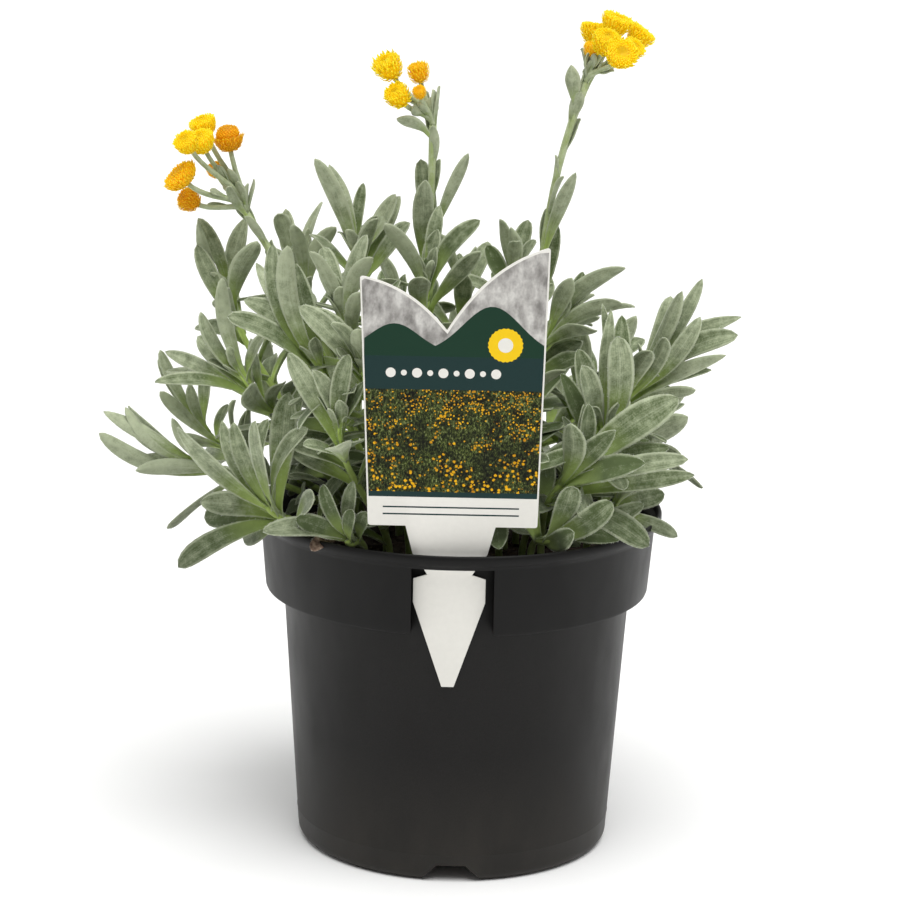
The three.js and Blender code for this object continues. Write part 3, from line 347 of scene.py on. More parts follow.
def printed_meadow():
    """The label's picture panel: a bed of grey-green foliage with drifts of yellow heads,
    finer toward its top as if farther away."""
    material, place = new_material("printed meadow")
    stretched = node(material, "Mapping", place, Scale=(1.6, 1, 0.9))
    leaves = node(material, "TexNoise", stretched, Scale=per(0.9), Detail=5.0, Roughness=0.75)
    shade = node(material, "TexNoise", place, Scale=per(4.5), **RICH_NOISE)
    ground = node(material, "ValToRGB", leaves, stops=[
        (0.40, colour("0C1004")), (0.49, colour("2C3412")), (0.57, colour("58642C")),
        (0.70, colour("A8AE7C"))])
    dark = node(material, "ValToRGB", shade, stops=[(0.38, grey(0.25)), (0.62, grey(1.0))])
    base = node(material, "Mix", 1.0, ground, dark, **MULTIPLIED)
    height = node(material, "SeparateXYZ", place).outputs["Z"]
    drift = node(material, "TexNoise", place, Scale=per(6.5), **RICH_NOISE)
    wobble = node(material, "TexNoise", place, Scale=per(0.5), **PLAIN_NOISE)
    # Far heads are 0.85 mm apart and stand in the upper half, near ones 1.5 mm in the lower
    low, high = MEADOW_HEIGHTS
    for apart, near in ((0.85, -0.10), (1.5, 0.10)):
        wanted = node(material, "MapRange", height, low, high, near, -near)
        cells = node(material, "TexVoronoi", place, Scale=per(apart), Randomness=1.0)
        pick, bright, _ = node(material, "SeparateColor", cells.outputs["Color"]).outputs
        ragged = node(material, "Math", wobble, 0.35, cells, operation="MULTIPLY_ADD")
        disc = node(material, "ValToRGB", ragged, stops=[(0.44, grey(1.0)), (0.56, grey(0.0))])
        wanted = node(material, "Math", drift, wanted, operation="ADD")
        wanted = node(material, "Math", pick, 0.16, wanted, operation="MULTIPLY_ADD")
        chosen = node(material, "ValToRGB", wanted, stops=[(0.63, grey(0.0)), (0.65, grey(1.0))])
        flower = node(material, "ValToRGB", bright, stops=[(0.0, colour("B97C08")), (1.0, colour("F2B812"))])
        share = node(material, "Math", disc, chosen, operation="MULTIPLY")
        base = node(material, "Mix", share, base, flower, **FLAT)
    return finished(material, Base_Color=base, Roughness=0.4, Specular_IOR_Level=0.15)


# Mesh making
def deselect():
    if bpy.context.object and bpy.context.object.mode != "OBJECT":
        bpy.ops.object.mode_set(mode="OBJECT")
    bpy.ops.object.select_all(action="DESELECT")


def activate(thing):
    deselect()
    thing.select_set(True)
    bpy.context.view_layer.objects.active = thing


def keep(thing, slot, *nodes):
    """A finished piece: it rides on the body and stands for its CAD nodes. Its slot is not used."""
    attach(thing, "root")
    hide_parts(*nodes)
    return thing


def linked_object(name, points, edges, faces):
    mesh = bpy.data.meshes.new(name)
    mesh.from_pydata([tuple(p) for p in points], edges, faces)
    thing = bpy.data.objects.new(name, mesh)
    bpy.context.scene.collection.objects.link(thing)
    return thing


def spun(name, profile, steps):
    """A closed profile of (radius, height) in millimetres, spun about the upright axis."""
    points = [(radius * MM, 0.0, height * MM) for radius, height in profile]
    edges = [(i, i + 1) for i in range(len(points) - 1)]
    thing = linked_object(name, points, edges, [])
    activate(thing)
    bpy.ops.object.mode_set(mode="EDIT")
    bpy.ops.mesh.select_all(action="SELECT")
    bpy.ops.mesh.spin(steps=steps, angle=TAU, center=(0, 0, 0), axis=(0, 0, 1))
    bpy.ops.mesh.select_all(action="SELECT")
    bpy.ops.mesh.remove_doubles(threshold=1e-6)
    bpy.ops.mesh.normals_make_consistent(inside=False)
    bpy.ops.object.mode_set(mode="OBJECT")
    return thing


def cut(thing, operation, *cutters):
    """Joins or takes away closed shapes, which are then removed."""
    for cutter in cutters:
        activate(thing)
        change = thing.modifiers.new("cut", "BOOLEAN")
        change.operation = operation
        change.solver = "EXACT"
        change.object = cutter
        bpy.ops.object.modifier_apply(modifier=change.name)
        bpy.data.objects.remove(cutter)
    return thing


def block(low, high):
    """A plain box between two corners in millimetres, for cutting."""
    deselect()
    middle = [(a + b) / 2 * MM for a, b in zip(low, high)]
    bpy.ops.mesh.primitive_cube_add(size=1, location=middle)
    thing = bpy.context.object
    thing.scale = [(b - a) * MM for a, b in zip(low, high)]
    bpy.ops.object.transform_apply(location=True, rotation=True, scale=True)
    return thing


def slab(name, outline, through):
    """A flat outline in metres, filled and extruded through its thickness."""
    count = len(outline)
    thing = linked_object(name, outline, [(i, (i + 1) % count) for i in range(count)], [])
    activate(thing)
    bpy.ops.object.mode_set(mode="EDIT")
    bpy.ops.mesh.select_all(action="SELECT")
    bpy.ops.mesh.edge_face_add()
    bpy.ops.mesh.extrude_region_move(TRANSFORM_OT_translate={"value": through})
    bpy.ops.mesh.select_all(action="SELECT")
    bpy.ops.mesh.normals_make_consistent(inside=False)
    bpy.ops.object.mode_set(mode="OBJECT")
    return thing


def soften(thing, width_mm, segments=2, angle=40):
    """Rounds sharp edges and shades the rest smooth."""
    activate(thing)
    change = thing.modifiers.new("round", "BEVEL")
    change.width = width_mm * MM
    change.segments = segments
    change.limit_method = "ANGLE"
    change.angle_limit = math.radians(angle)
    change.harden_normals = False
    bpy.ops.object.modifier_apply(modifier=change.name)
    bpy.ops.object.shade_smooth_by_angle(angle=math.radians(angle))
    return thing


def mix(a, b, share):
    return a + (b - a) * share


def ease(share):
    """Rises smoothly from 0 to 1."""
    return share * share * (3 - 2 * share)


# The pot's measures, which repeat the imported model's, in millimetres
LIP_HEIGHT = 5.5
LIP_REACH = 2.4
LIP_FLARE = 3.6
COLLAR_BOTTOM = 89.3
COLLAR_BOTTOM_RADIUS = 65.7
BODY_TOP_RADIUS = 59.6
BODY_FOOT_RADIUS = 53.9
FOOT_ROUNDING = 3.7
FOOT_RING_WIDTH = 5.2
FOOT_DISC_RADIUS = 22
FLOOR = 1.6
BASE_RISE = 3
POCKET_LEFT = -14.7
POCKET_RIGHT = 12.3
POCKET_TOP = 112.3
NOTCH_COUNT = 3
NOTCH_WIDTH = 19
NOTCH_HEIGHT = 6
NOTCH_SLOPE = 4.8
NOTCH_START = 38
NOTCH_DEPTH = 26
FIT_GAP = 0.35
POT_STEPS = 160

# The pocket's own shapes before they are cut, in millimetres: how thick their ring is, how
# far from the pot's middle they reach, their top, and how far its walls stop short of the
# collar's outer face
PAST_COLLAR = 12
PAST_RIM = 70
CUT_TOP = 117
COLLAR_SKIN = 0.3


class PotShape:
    """The radii of the pot at any height, worked out from its settings."""

    def __init__(self, settings):
        self.rim = settings.rim_radius / MM
        self.top = settings.rim_height / MM
        self.wall = settings.wall / MM
        self.lip_bottom = self.top - LIP_HEIGHT
        self.collar_top = self.rim - LIP_REACH

    def body(self, height):
        share = (height - FOOT_ROUNDING) / (COLLAR_BOTTOM - FOOT_ROUNDING)
        return mix(BODY_FOOT_RADIUS, BODY_TOP_RADIUS, share)

    def collar(self, height):
        share = (height - COLLAR_BOTTOM) / (self.lip_bottom - COLLAR_BOTTOM)
        return mix(COLLAR_BOTTOM_RADIUS, self.collar_top, share)

    def lip(self, share, inset=0.0):
        """The outward flare of the lip, from 0 at its foot to 1 at its widest."""
        return self.collar_top - inset + LIP_REACH * ease(share)


def pot_profile(shape):
    """From the foot's centre up the outside, over the lip and down the inside."""
    edge = BODY_FOOT_RADIUS - FOOT_ROUNDING
    inner = edge - FOOT_RING_WIDTH
    wall = shape.wall
    floor_top = BASE_RISE + FLOOR
    turns = [math.pi / 2 * k / 6 for k in range(1, 7)]
    # Radius past the wall and height of a faint ring left by the mould round the foot
    mould_ring = [(0, 9.2), (0.12, 9.6), (0, 10.0)]
    # Radius and height past the collar's edge, under the collar and then up its side
    step = [(BODY_TOP_RADIUS, -0.1, -1.2), (BODY_TOP_RADIUS, 0.5, 0), (COLLAR_BOTTOM_RADIUS, -0.9, 0)]
    step += [(COLLAR_BOTTOM_RADIUS, -0.2, 0.25), (COLLAR_BOTTOM_RADIUS, 0.1, 1.0)]
    # The lip's flare, as shares of its reach, and its crown, as radius and height below the rim
    flare = [0.25, 0.5, 0.75]
    crown = [(0, 1.7), (0.02, 0.9), (0.25, 0.3), (0.65, 0), (wall - 0.2, 0.1), (wall + 0.15, 0.7)]
    return [
        (0, 0), (FOOT_DISC_RADIUS, 0), (FOOT_DISC_RADIUS + BASE_RISE, BASE_RISE),
        (inner - BASE_RISE / 2, BASE_RISE), (inner, 0), (edge, 0),
        *[(edge + FOOT_ROUNDING * math.sin(turn), FOOT_ROUNDING * (1 - math.cos(turn))) for turn in turns],
        *[(shape.body(height) + out, height) for out, height in mould_ring],
        *[(radius + out, COLLAR_BOTTOM + up) for radius, out, up in step],
        (shape.collar_top, shape.lip_bottom),
        *[(shape.lip(share), shape.lip_bottom + LIP_FLARE * share) for share in flare],
        *[(shape.rim - inward, shape.top - down) for inward, down in crown],
        *[(shape.lip(share, wall), shape.lip_bottom + LIP_FLARE * share) for share in reversed(flare)],
        (shape.collar_top - wall, shape.lip_bottom),
        (COLLAR_BOTTOM_RADIUS - wall, COLLAR_BOTTOM + wall), (BODY_TOP_RADIUS - wall, COLLAR_BOTTOM + wall),
        (BODY_FOOT_RADIUS - wall, floor_top + wall), (edge, floor_top),
        (FOOT_DISC_RADIUS + BASE_RISE, floor_top), (FOOT_DISC_RADIUS, FLOOR), (0, FLOOR)]


def cone_ring(name, shape, inner, outer, bottom, top):
    return spun(name, [
        (shape.body(bottom) + inner, bottom), (shape.body(bottom) + outer, bottom),
        (shape.body(top) + outer, top), (shape.body(top) + inner, top),
        (shape.body(bottom) + inner, bottom)], POT_STEPS)


def notch_cutter(index):
    """A drain notch under the foot, with sloped shoulders."""
    half = NOTCH_WIDTH / 2
    outline = [
        (-half, -1), (half, -1), (half, NOTCH_HEIGHT - NOTCH_SLOPE),
        (half - NOTCH_SLOPE, NOTCH_HEIGHT), (-half + NOTCH_SLOPE, NOTCH_HEIGHT),
        (-half, NOTCH_HEIGHT - NOTCH_SLOPE)]
    face = [(x * MM, -NOTCH_START * MM, z * MM) for x, z in outline]
    thing = slab("notch", face, (0, -NOTCH_DEPTH * MM, 0))
    thing.data.transform(Matrix.Rotation(index * TAU / NOTCH_COUNT, 4, "Z"))
    return thing


class PLANT_OT_pot(bpy.types.Operator):
    """Makes the moulded pot, with its collar, label pocket and drain notches"""
    bl_idname = "plant.pot"
    bl_label = "Pot"

    def execute(self, context):
        settings = context.scene.plant_pot
        shape = PotShape(settings)
        wall = shape.wall
        pot = spun("nursery_pot", pot_profile(shape), POT_STEPS)
        # The pocket's walls join the body, and end inside the collar
        walls = cone_ring("pocket walls", shape, -wall, PAST_COLLAR, COLLAR_BOTTOM, POCKET_TOP)
        reach = block((POCKET_LEFT - wall, -PAST_RIM, 0), (POCKET_RIGHT + wall, 0, CUT_TOP))
        high = shape.collar(shape.lip_bottom) - COLLAR_SKIN
        inside = spun("inside of the collar", [
            (0, 0), (BODY_FOOT_RADIUS, 0), (shape.collar(COLLAR_BOTTOM) - COLLAR_SKIN, COLLAR_BOTTOM),
            (high, shape.lip_bottom), (high, shape.top), (0, shape.top)], POT_STEPS)
        cut(walls, "INTERSECT", reach, inside)
        cut(pot, "UNION", walls)
        # The room between them is cut out for the label's stake, with the notches of the foot
        room = cone_ring("pocket room", shape, 0, 2 * PAST_COLLAR, COLLAR_BOTTOM - wall, POCKET_TOP)
        cut(room, "INTERSECT", block((POCKET_LEFT, -2 * PAST_RIM, 0), (POCKET_RIGHT, 0, CUT_TOP)))
        cut(pot, "DIFFERENCE", room, *[notch_cutter(i) for i in range(NOTCH_COUNT)])
        soften(pot, 0.22, 2, 32)
        pot.data.materials.append(moulded_polypropylene(settings))
        keep(pot, "pot_plastic", "pot")
        return {"FINISHED"}


# The potting mix, how deep a stem stands in it, and its loose chips
MIX_EDGE_HEIGHT = 103.5
MIX_CROWN_HEIGHT = 106
MIX_FOOT_RISE = 1.5
MIX_RINGS = 16
MIX_STEPS = 96
STEM_FOOT = 97
STEM_LEVEL = 106
STEM_RISE = 18
BARK_CHIPS = 420
UNEVENNESS = (-1.1, 0.5)
ON_CUT = 0.01
# A chip's length, then what its three sides measure in shares of it, and how far it tips
CHIP_LENGTH = (1.5, 4.2)
CHIP_SIDES = ((0.7, 1.1), (0.7, 1.1), (0.25, 0.45))
CHIP_NARROWER = 0.5
CHIP_TIPS = (-0.5, 0.5)
CLEAR_OF_LABEL = 4


def bark_chip():
    """One six-sided chip, 2 across and 1 tall: its corners and faces."""
    deselect()
    bpy.ops.mesh.primitive_cylinder_add(vertices=6, radius=1, depth=1)
    chip = bpy.context.object
    corners = [v.co.copy() for v in chip.data.vertices]
    faces = [tuple(p.vertices) for p in chip.data.polygons]
    bpy.data.objects.remove(chip)
    return corners, faces


class PLANT_OT_potting_mix(bpy.types.Operator):
    """Makes the bark mix that fills the pot, with loose chips on top"""
    bl_idname = "plant.potting_mix"
    bl_label = "Potting mix"

    def execute(self, context):
        settings = context.scene.plant_pot
        shape = PotShape(settings)
        skin = shape.wall + FIT_GAP
        shelf = COLLAR_BOTTOM + skin
        edge = shape.collar(MIX_EDGE_HEIGHT) - skin
        low = BASE_RISE + FLOOR + FIT_GAP
        shares = [k / MIX_RINGS for k in range(MIX_RINGS + 1)]
        mixed = spun("bark_mix", [
            (0, low), (BODY_FOOT_RADIUS - FOOT_ROUNDING - FOOT_RING_WIDTH, low),
            (BODY_FOOT_RADIUS - skin - shape.wall / 2, NOTCH_HEIGHT + MIX_FOOT_RISE),
            (BODY_TOP_RADIUS - skin, shelf), (shape.collar(shelf) - skin, shelf),
            *[(edge * (1 - s), mix(MIX_EDGE_HEIGHT, MIX_CROWN_HEIGHT, s)) for s in shares]], MIX_STEPS)
        corner = max(-POCKET_LEFT, POCKET_RIGHT) + shape.wall
        back = math.sqrt((BODY_TOP_RADIUS - shape.wall) ** 2 - corner ** 2) - FIT_GAP
        low_x, high_x = POCKET_LEFT - skin, POCKET_RIGHT + skin
        cut(mixed, "DIFFERENCE", block(
            (low_x, -PAST_RIM, COLLAR_BOTTOM - FIT_GAP), (high_x, -back, CUT_TOP + 1)))
        draw = random.Random(11)
        # The top is uneven, but not at its rim. The points of the pocket's cut come in another
        # order in each run, so they stay where they are.
        for vertex in mixed.data.vertices:
            x, y, z = vertex.co / MM
            if z > MIX_EDGE_HEIGHT - 0.5 and math.hypot(x, y) < edge - 1:
                rise = draw.uniform(*UNEVENNESS)
                if y > ON_CUT - back or not low_x - ON_CUT < x < high_x + ON_CUT:
                    vertex.co.z += rise * MM
        chip, chip_faces = bark_chip()
        left, right = POCKET_LEFT - CLEAR_OF_LABEL, POCKET_RIGHT + CLEAR_OF_LABEL
        points, faces = [], []
        for _ in range(BARK_CHIPS):
            radius = (edge - 4) * math.sqrt(draw.random())
            angle = draw.uniform(0, TAU)
            x, y = radius * math.cos(angle), radius * math.sin(angle)
            if y < CLEAR_OF_LABEL - back and left < x < right:
                continue
            level = mix(MIX_CROWN_HEIGHT, MIX_EDGE_HEIGHT, radius / edge)
            long = draw.uniform(*CHIP_LENGTH)
            turn = Matrix.Rotation(draw.uniform(0, TAU), 4, "Z")
            turn = turn @ Matrix.Rotation(draw.uniform(*CHIP_TIPS), 4, "X")
            faces += [tuple(len(points) + k for k in face) for face in chip_faces]
            for corner in chip:
                x_share, y_share, z_share = (draw.uniform(*share) for share in CHIP_SIDES)
                local = Vector((
                    corner.x * long * x_share, corner.y * long * CHIP_NARROWER * y_share,
                    corner.z * long * z_share))
                points.append(((turn @ local) + Vector((x, y, level - 0.1))) * MM)
        chips = linked_object("bark_chips", points, [], faces)
        soften(mixed, 0.1, 1, 60)
        mixed.data.materials.append(bark_mix(settings))
        chips.data.materials.append(bark_mix(settings, "torn bark chips", 1.5))
        keep(mixed, "bark_mix", "potting_mix")
        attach(chips, "root")
        return {"FINISHED"}


# The card label, in its own plane: u to the right of the tip, v up the card from it
LABEL_TIP = (-2.3, -59, 72)
LABEL_LEAN = math.radians(4.2)
BAND = (100.2, 111.2)
PICTURE = (65.9, 100.2)
RULE = (64.1, 65.9)
SHOULDER = 55.2
# For the right and the left straight edge: its reach at the shoulder and at its top, and
# the height of its top
EDGES = {1: (28.1, 29.9, 146), -1: (26.8, 30.1, 136)}
SPOT = (16.4, 115.3)
SPOT_RADII = (5.4, 2.4)
BEAD_START = (-20, 105.7)
BEAD_STEP = 4.2
BEAD_RADII = (1.6, 0.95)
BEAD_COUNT = 9
LINES = (58.0, 60.4)
LINE_REACH = 22
LINE_WIDTH = 0.5
INTO_CARD = 0.03


def label_point(u, v, w):
    """A place on the card, with w out of its printed face, in metres."""
    sine, cosine = math.sin(LABEL_LEAN), math.cos(LABEL_LEAN)
    x, y, z = LABEL_TIP
    return Vector((x + u, y - v * sine - w * cosine, z + v * cosine - w * sine)) * MM


def bowed(start, control, end, steps=14):
    """Points of a quadratic curve, without its first."""
    a, b, c = Vector(start), Vector(control), Vector(end)
    shares = [k / steps for k in range(1, steps + 1)]
    return [tuple(a * (1 - t) ** 2 + b * 2 * t * (1 - t) + c * t * t) for t in shares]


def label_outline():
    """The card from its tongue's tip: two barbs, a neck, and a head with two wings."""
    right = [
        (2, -1.5), (11.8, 28), (11.8, 36), (7.3, 37.5), (9, 40.3), (12.2, 44.8), (14.6, 54.2), (27.2, 54.2)]
    outline = right + bowed((27.2, 54.2), (28.1, 54.2), (28.1, 55.2), 4) + [(29.9, 146)]
    outline += bowed((29.9, 146), (29.9, 147.4), (28.6, 147), 4)
    outline += bowed((28.6, 147), (10, 141), (-2.3, 119.8), 20)
    outline += bowed((-2.3, 119.8), (-13.5, 134), (-28.8, 137), 20)
    outline += bowed((-28.8, 137), (-30.2, 137.2), (-30.1, 136), 4)
    outline += [(-26.8, 55.2)] + bowed((-26.8, 55.2), (-26.7, 54.2), (-25.8, 54.2), 4)
    return outline + [
        (-14.6, 54.2), (-12.2, 44.8), (-9, 40.3), (-7.3, 37.5), (-11.8, 36), (-11.8, 28), (-2, -1.5)]


def card_slab(name, outline, low, high):
    """A flat shape on the card, from one height over the card's back to another."""
    through = label_point(0, 0, high) - label_point(0, 0, low)
    return slab(name, [label_point(u, v, low) for u, v in outline], through)


def print_sheet(name, outline, material, settings, lift):
    """A flat printed shape lying on the card's face, a hair's breadth thick."""
    face = settings.thickness / MM
    thing = card_slab(name, outline, face - INTO_CARD, face + lift)
    thing.data.materials.append(material)
    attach(thing, "root")
    return thing


def edge_u(v, side, border):
    """The card's left or right straight edge at a height, less the unprinted border."""
    low, high, top = EDGES[side]
    return side * (mix(low, high, (v - SHOULDER) / (top - SHOULDER)) - border)


def strip(low, high, border):
    return [
        (edge_u(low, -1, border), low), (edge_u(low, 1, border), low),
        (edge_u(high, 1, border), high), (edge_u(high, -1, border), high)]


def wing_outline(border):
    """The printed top of the card, inside its white border."""
    top = BAND[1]
    outline = [(edge_u(top, -1, border), top), (edge_u(top, 1, border), top)]
    outline.append((edge_u(145.8, 1, border), 145.8))
    outline += bowed((28.4, 146.2), (10.3, 140.2), (-2.1, 118.7), 20)
    outline += bowed((-2.4, 118.7), (-13.6, 133.2), (-28.6, 136.3), 20)
    outline.append((edge_u(135.6, -1, border), 135.6))
    return outline


def hill(border, base, rise, centre, spread, steps=36, foot=1.2):
    """A smooth hill standing on the band, printed across the top of the card."""
    left, right = edge_u(base, -1, border), edge_u(base, 1, border)
    places = [mix(right, left, k / steps) for k in range(steps + 1)]
    crest = [(u, base + foot + rise * math.exp(-((u - centre) / spread) ** 2)) for u in places]
    return [(left, base), (right, base), *crest]


def disc_outline(u, v, radius, points, tooth=0.0):
    """A disc, or a toothed one where every second point stands out by a share."""
    outline = []
    for k in range(points):
        reach = radius * (1 + (tooth if k % 2 else 0))
        outline.append((u + reach * math.cos(k * TAU / points), v + reach * math.sin(k * TAU / points)))
    return outline


class PLANT_OT_label(bpy.types.Operator):
    """Makes the card label with its plain printed bands"""
    bl_idname = "plant.label"
    bl_label = "Card label"

    def execute(self, context):
        settings = context.scene.plant_label
        border = settings.border / MM
        card = card_slab("card_label", label_outline(), 0, settings.thickness / MM)
        soften(card, 0.12, 2, 50)
        white = coated_card("coated white card", tuple(settings.card))
        card.data.materials.append(white)
        keep(card, "label_card", "plant_label")
        band = coated_card("dark green ink", tuple(settings.band))
        sweep = coated_card("deep green ink", tuple(settings.sweep))
        yellow = coated_card("yellow ink", colour("F2C80E"))
        # Name, outline, ink and lift over the card of each printed sheet
        sheets = [
            ("label_top", wing_outline(border), printed_felt(), 0.02),
            ("label_hill_left", hill(border, BAND[1], 9.5, -19, 11), sweep, 0.04),
            ("label_hill_right", hill(border, BAND[1], 15.5, 12, 13), sweep, 0.05),
            ("label_band", strip(*BAND, border), band, 0.06),
            ("label_picture", strip(*PICTURE, border), printed_meadow(), 0.02),
            ("label_rule", strip(*RULE, border), band, 0.02),
            ("label_spot", disc_outline(*SPOT, SPOT_RADII[0], 48, 0.05), yellow, 0.08),
            ("label_spot_middle", disc_outline(*SPOT, SPOT_RADII[1], 32), white, 0.10)]
        for k in range(BEAD_COUNT):
            bead = disc_outline(BEAD_START[0] + BEAD_STEP * k, BEAD_START[1], BEAD_RADII[k % 2], 24)
            sheets.append((f"label_bead_{k + 1}", bead, white, 0.08))
        for k, low in enumerate(LINES):
            high = low + LINE_WIDTH
            line = [(-LINE_REACH, low), (LINE_REACH, low), (LINE_REACH, high), (-LINE_REACH, high)]
            sheets.append((f"label_line_{k + 1}", line, band, 0.02))
        for name, outline, material, lift in sheets:
            print_sheet(name, outline, material, settings, lift)
        return {"FINISHED"}


# The growing rule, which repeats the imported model's. Millimetres.
GOLDEN_ANGLE = math.radians(137.508)
LEAF_LENGTH = 34
LEAF_WIDTH = 7.4
SAME_DIRECTION = 0.93
LOW_SPREAD = (82, 66)
HIGH_SPREAD = (15, 30)
LEAST_BEND = 0.25
LOW_BEND = 1.15
HIGH_BEND = 0.45
HIGH_LENGTH = 0.62
HIGH_WIDTH = 0.72
LENGTH_VARIATION = (0.82, 1.1)
WIDTH_VARIATION = (0.8, 1.2)
TURN_VARIATION = 0.2
ROLL_VARIATION = 0.35
TOP_LEAF_DOWN = 0.5
AIMED_DOWN = (11, 1)
AIMED_BEND = (0.35, 0.95)
AIMED_ROLL = 0.3
BRACT_BEND = (0.2, 0.5)
BRACT_ROLL = 0.2
STEM_ARRIVAL = 0.38
BRANCH_START = 0.3
BRANCH_ARRIVAL = 0.4
SHOOT_RADII = (1.25, 1.0)
STALK_RADII = (1.35, 1.05)
BRANCH_RADII = (1.05, 0.83)
HEAD_SEAT = 0.45
BRANCH_INTO_HEAD = 0.8
HEAD_UPRIGHT = 0.35
HEAD_FORWARD = -0.35
SIDE_REFERENCE = np.array([0.6, -0.8, 0.0])

# The ways a leaf is tried: degrees round the stem, degrees of spread, share of its length
AS_PLANNED = (0, 0, 1)
TRIES = [
    AS_PLANNED, (8, 0, 1), (-8, 0, 1), (0, 8, 1), (0, -8, 1), (16, 0, 1), (-16, 0, 1),
    (10, -12, 0.95), (-10, -12, 0.95), (10, 12, 0.95), (-10, 12, 0.95), (0, 0, 0.85),
    (0, -18, 0.9), (24, 0, 0.9), (-24, 0, 0.9), (16, -14, 0.8), (-16, -14, 0.8),
    (0, -10, 0.72), (20, 12, 0.72), (-20, 12, 0.72), (34, 0, 0.8), (-34, 0, 0.8),
    (0, 0, 0.6), (24, -16, 0.6), (-24, -16, 0.6),
]

